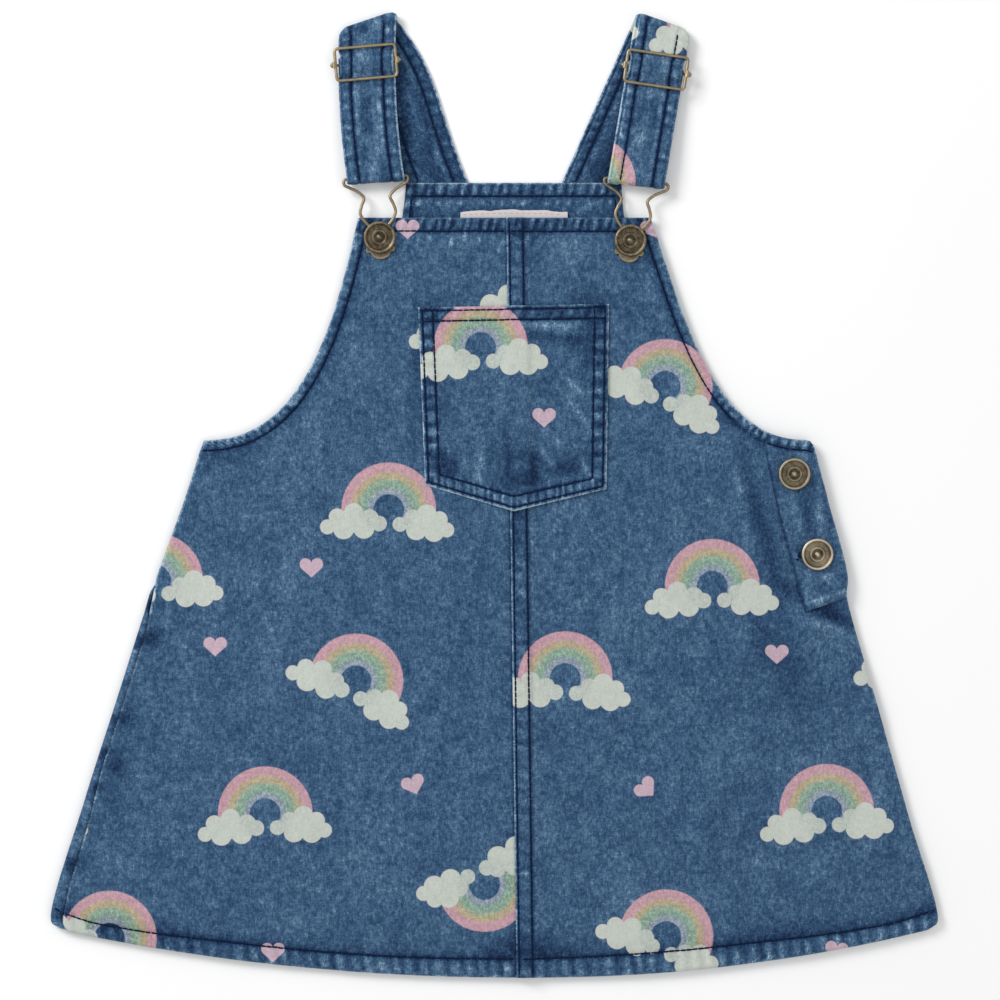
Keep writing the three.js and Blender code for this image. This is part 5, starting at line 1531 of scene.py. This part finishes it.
pocketTree = surfaceOf(patchPocket)
pocketLines = [pocketLine(row) for row in pocketSizes["rows"]]
for down in (pocketSizes["topRow"], pocketSizes["hem"]):
    pocketLines.append([(leftTopX + 1.5, leftTopY - down), (rightTopX - 1.5, rightTopY - down)])
threads["pocket"] = sewLines("pocket_stitches", pocketTree, pocketLines)
tacks = barTack(leftTopX + 5.2, leftTopY - 1.6, 0) + barTack(rightTopX - 5.2, rightTopY - 1.6, 0)
tackSizes = {"long": 1.5, "pitch": 3, "thick": 0.36}
tackThreads = {"pocket": sewLines("pocket_bar_tacks", pocketTree, tacks, tackSizes)}
bandTree = surfaceOf(holeBand)
armTop = np.vstack([[(169.2, 20.9)], armLine(armholes["frontRight"], 5.4, 0.03, 0.27)])
threads["button_band"] = sewLines("band_stitches", bandTree, [armTop])
holeEnd = barTack(158.2, -32.6, 75, 3.6, 2.5)
holeSizes = {"long": 1.6, "pitch": 3, "thick": 0.3}
tackThreads["button_band"] = sewLines("buttonhole_ends", bandTree, holeEnd, holeSizes)
backTree = surfaceOf(backDress)
backTopLine = np.stack([np.linspace(-44, 64.5, 80), np.full(80, 155.4)], 1)
rollHem = [(-229.4, -214.9), (-225.6, -217.2)]  # the hem's row goes on over the roll
backLines = [backTopLine, rollHem]
backLines += [armLine(armholes[key], 4.7, 0.5, 0.97) for key in ("backLeft", "backRight")]
threads["back"] = sewLines("back_stitches", backTree, backLines)


def strapLines(strap, part):
    rows = strapStations(strap)
    at, across = rows[:, :2], rows[:, 3:5] / (strapSizes["width"] / 2)
    on = rows[:, 5] == part
    return [at[on] + across[on] * hand * (strapSizes["width"] / 2 - strapSizes["rowIn"]) for hand in (-1, 1)]


for hand, piece in (("left", strapLeft), ("right", strapRight)):
    tree = surfaceOf(piece)
    front, back = strapLines(strapSizes[hand], 1), strapLines(strapSizes[hand], 0)
    threads["strap_" + hand] = sewLines("strap_stitches_" + hand, tree, front, floor=5.0)
    threads["strap_back_" + hand] = sewLines("strap_back_stitches_" + hand, tree, back, ceiling=3.0)
labelTree = surfaceOf(neckLabel)
labelShare = np.linspace(0.02, 0.98, 60)
labelLine = np.stack([labelSizes["left"] + labelSizes["width"] * labelShare,
                      labelSizes["top"] - labelSizes["seam"] + 1.05 * np.sin(np.pi * labelShare)], 1)
threads["neck_label"] = sewLines("label_stitches", labelTree, [labelLine], {"thick": 0.16, "long": 2.0},
                                 look=paleThread)
print("stitches sewn", sum(len(o.data.polygons) for o in threads.values()))


# which solid each piece stands for, and the cut of every cloth piece

clothPieces = {
    "back": backDress, "front_left": frontLeft, "front_right": frontRight, "pocket": patchPocket,
    "button_band": holeBand, "neck_label": neckLabel, "strap_left": strapLeft, "strap_right": strapRight,
}


def declare(piece, node):
    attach(piece, "root")
    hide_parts(node)


for node, piece in clothPieces.items():
    declare(piece, node)
for node, piece in brassPieces.items():
    declare(piece, node)
for node, piece in threads.items():
    declare(piece, node.replace("_back", ""))
for node, piece in tackThreads.items():
    declare(piece, node)


clothCuts = {  # width and length as cut, how it lies, what it lies on
    "back": (0.520, 0.480, "laid", []),
    "front_left": (0.240, 0.395, "laid", ["back"]),
    "front_right": (0.240, 0.395, "laid", ["back", "front_left"]),
    "pocket": (0.100, 0.115, "laid", ["front_left", "front_right"]),
    "button_band": (0.045, 0.105, "laid", ["front_right"]),
    "neck_label": (0.056, 0.034, "laid", ["back"]),
    "strap_left": (0.030, 0.280, "folded", ["back", "slider_left"]),
    "strap_right": (0.030, 0.280, "folded", ["back", "slider_right"]),
}
for node, (width, long, held, under) in clothCuts.items():
    piece = clothPieces[node]


# the table, the light and the camera

def makeTable():
    look, tree, shader = newLook("pale table")
    place = tree.nodes.new("ShaderNodeTexCoord").outputs["Object"]
    tint = mixColour(tree, fineNoise(tree, place, (3, 3, 3), 2, 0.5), (0.93, 0.93, 0.93), (0.96, 0.96, 0.96))
    tree.links.new(tint, shader.inputs["Base Color"])
    setFinish(shader, {"Roughness": 0.8, "Specular IOR Level": 0.2})
    return look


reach = 3000.0
corners = [(x * reach, y * reach, -0.02) for x, y in ((-1, -1), (1, -1), (1, 1), (-1, 1))]
tableTop = newMesh("table", corners, [(0, 1, 2, 3)], makeTable(), smooth=False)

lightSizes = {
    "key": {"place": (-1.25, 1.05, 1.25), "size": 0.8, "power": 26.0},
    "fill": {"place": (0.9, -0.7, 1.8), "size": 1.8, "power": 7.0},
    "room": 0.62,
}


def softLight(name, setting):
    lamp = bpy.data.lights.new(name, "AREA")
    lamp.shape = "SQUARE"
    lamp.size = setting["size"]
    lamp.energy = setting["power"]
    holder = bpy.data.objects.new(name, lamp)
    holder.location = setting["place"]
    holder.rotation_euler = (-Vector(setting["place"])).to_track_quat("-Z", "Y").to_euler()
    bpy.context.scene.collection.objects.link(holder)


softLight("key light", lightSizes["key"])
softLight("fill light", lightSizes["fill"])
room = bpy.data.worlds.new("room")
room.use_nodes = True
room.node_tree.nodes["Background"].inputs["Color"].default_value = (1.0, 1.0, 1.0, 1)
room.node_tree.nodes["Background"].inputs["Strength"].default_value = lightSizes["room"]
bpy.context.scene.world = room
bpy.context.scene.view_settings.view_transform = "Standard"

cameraSizes = {"middle": (3.1, -3.1), "across": 520.0, "lens": 100.0}
lens = bpy.data.cameras.new("camera")
lens.lens = cameraSizes["lens"]
lens.sensor_width = 36.0
camera = bpy.data.objects.new("camera", lens)
camera.location = (cameraSizes["middle"][0] * mm, cameraSizes["middle"][1] * mm,
                   cameraSizes["across"] * mm * cameraSizes["lens"] / 36.0 + 0.005)
bpy.context.scene.collection.objects.link(camera)
bpy.context.scene.camera = camera

print("table, light and camera set")
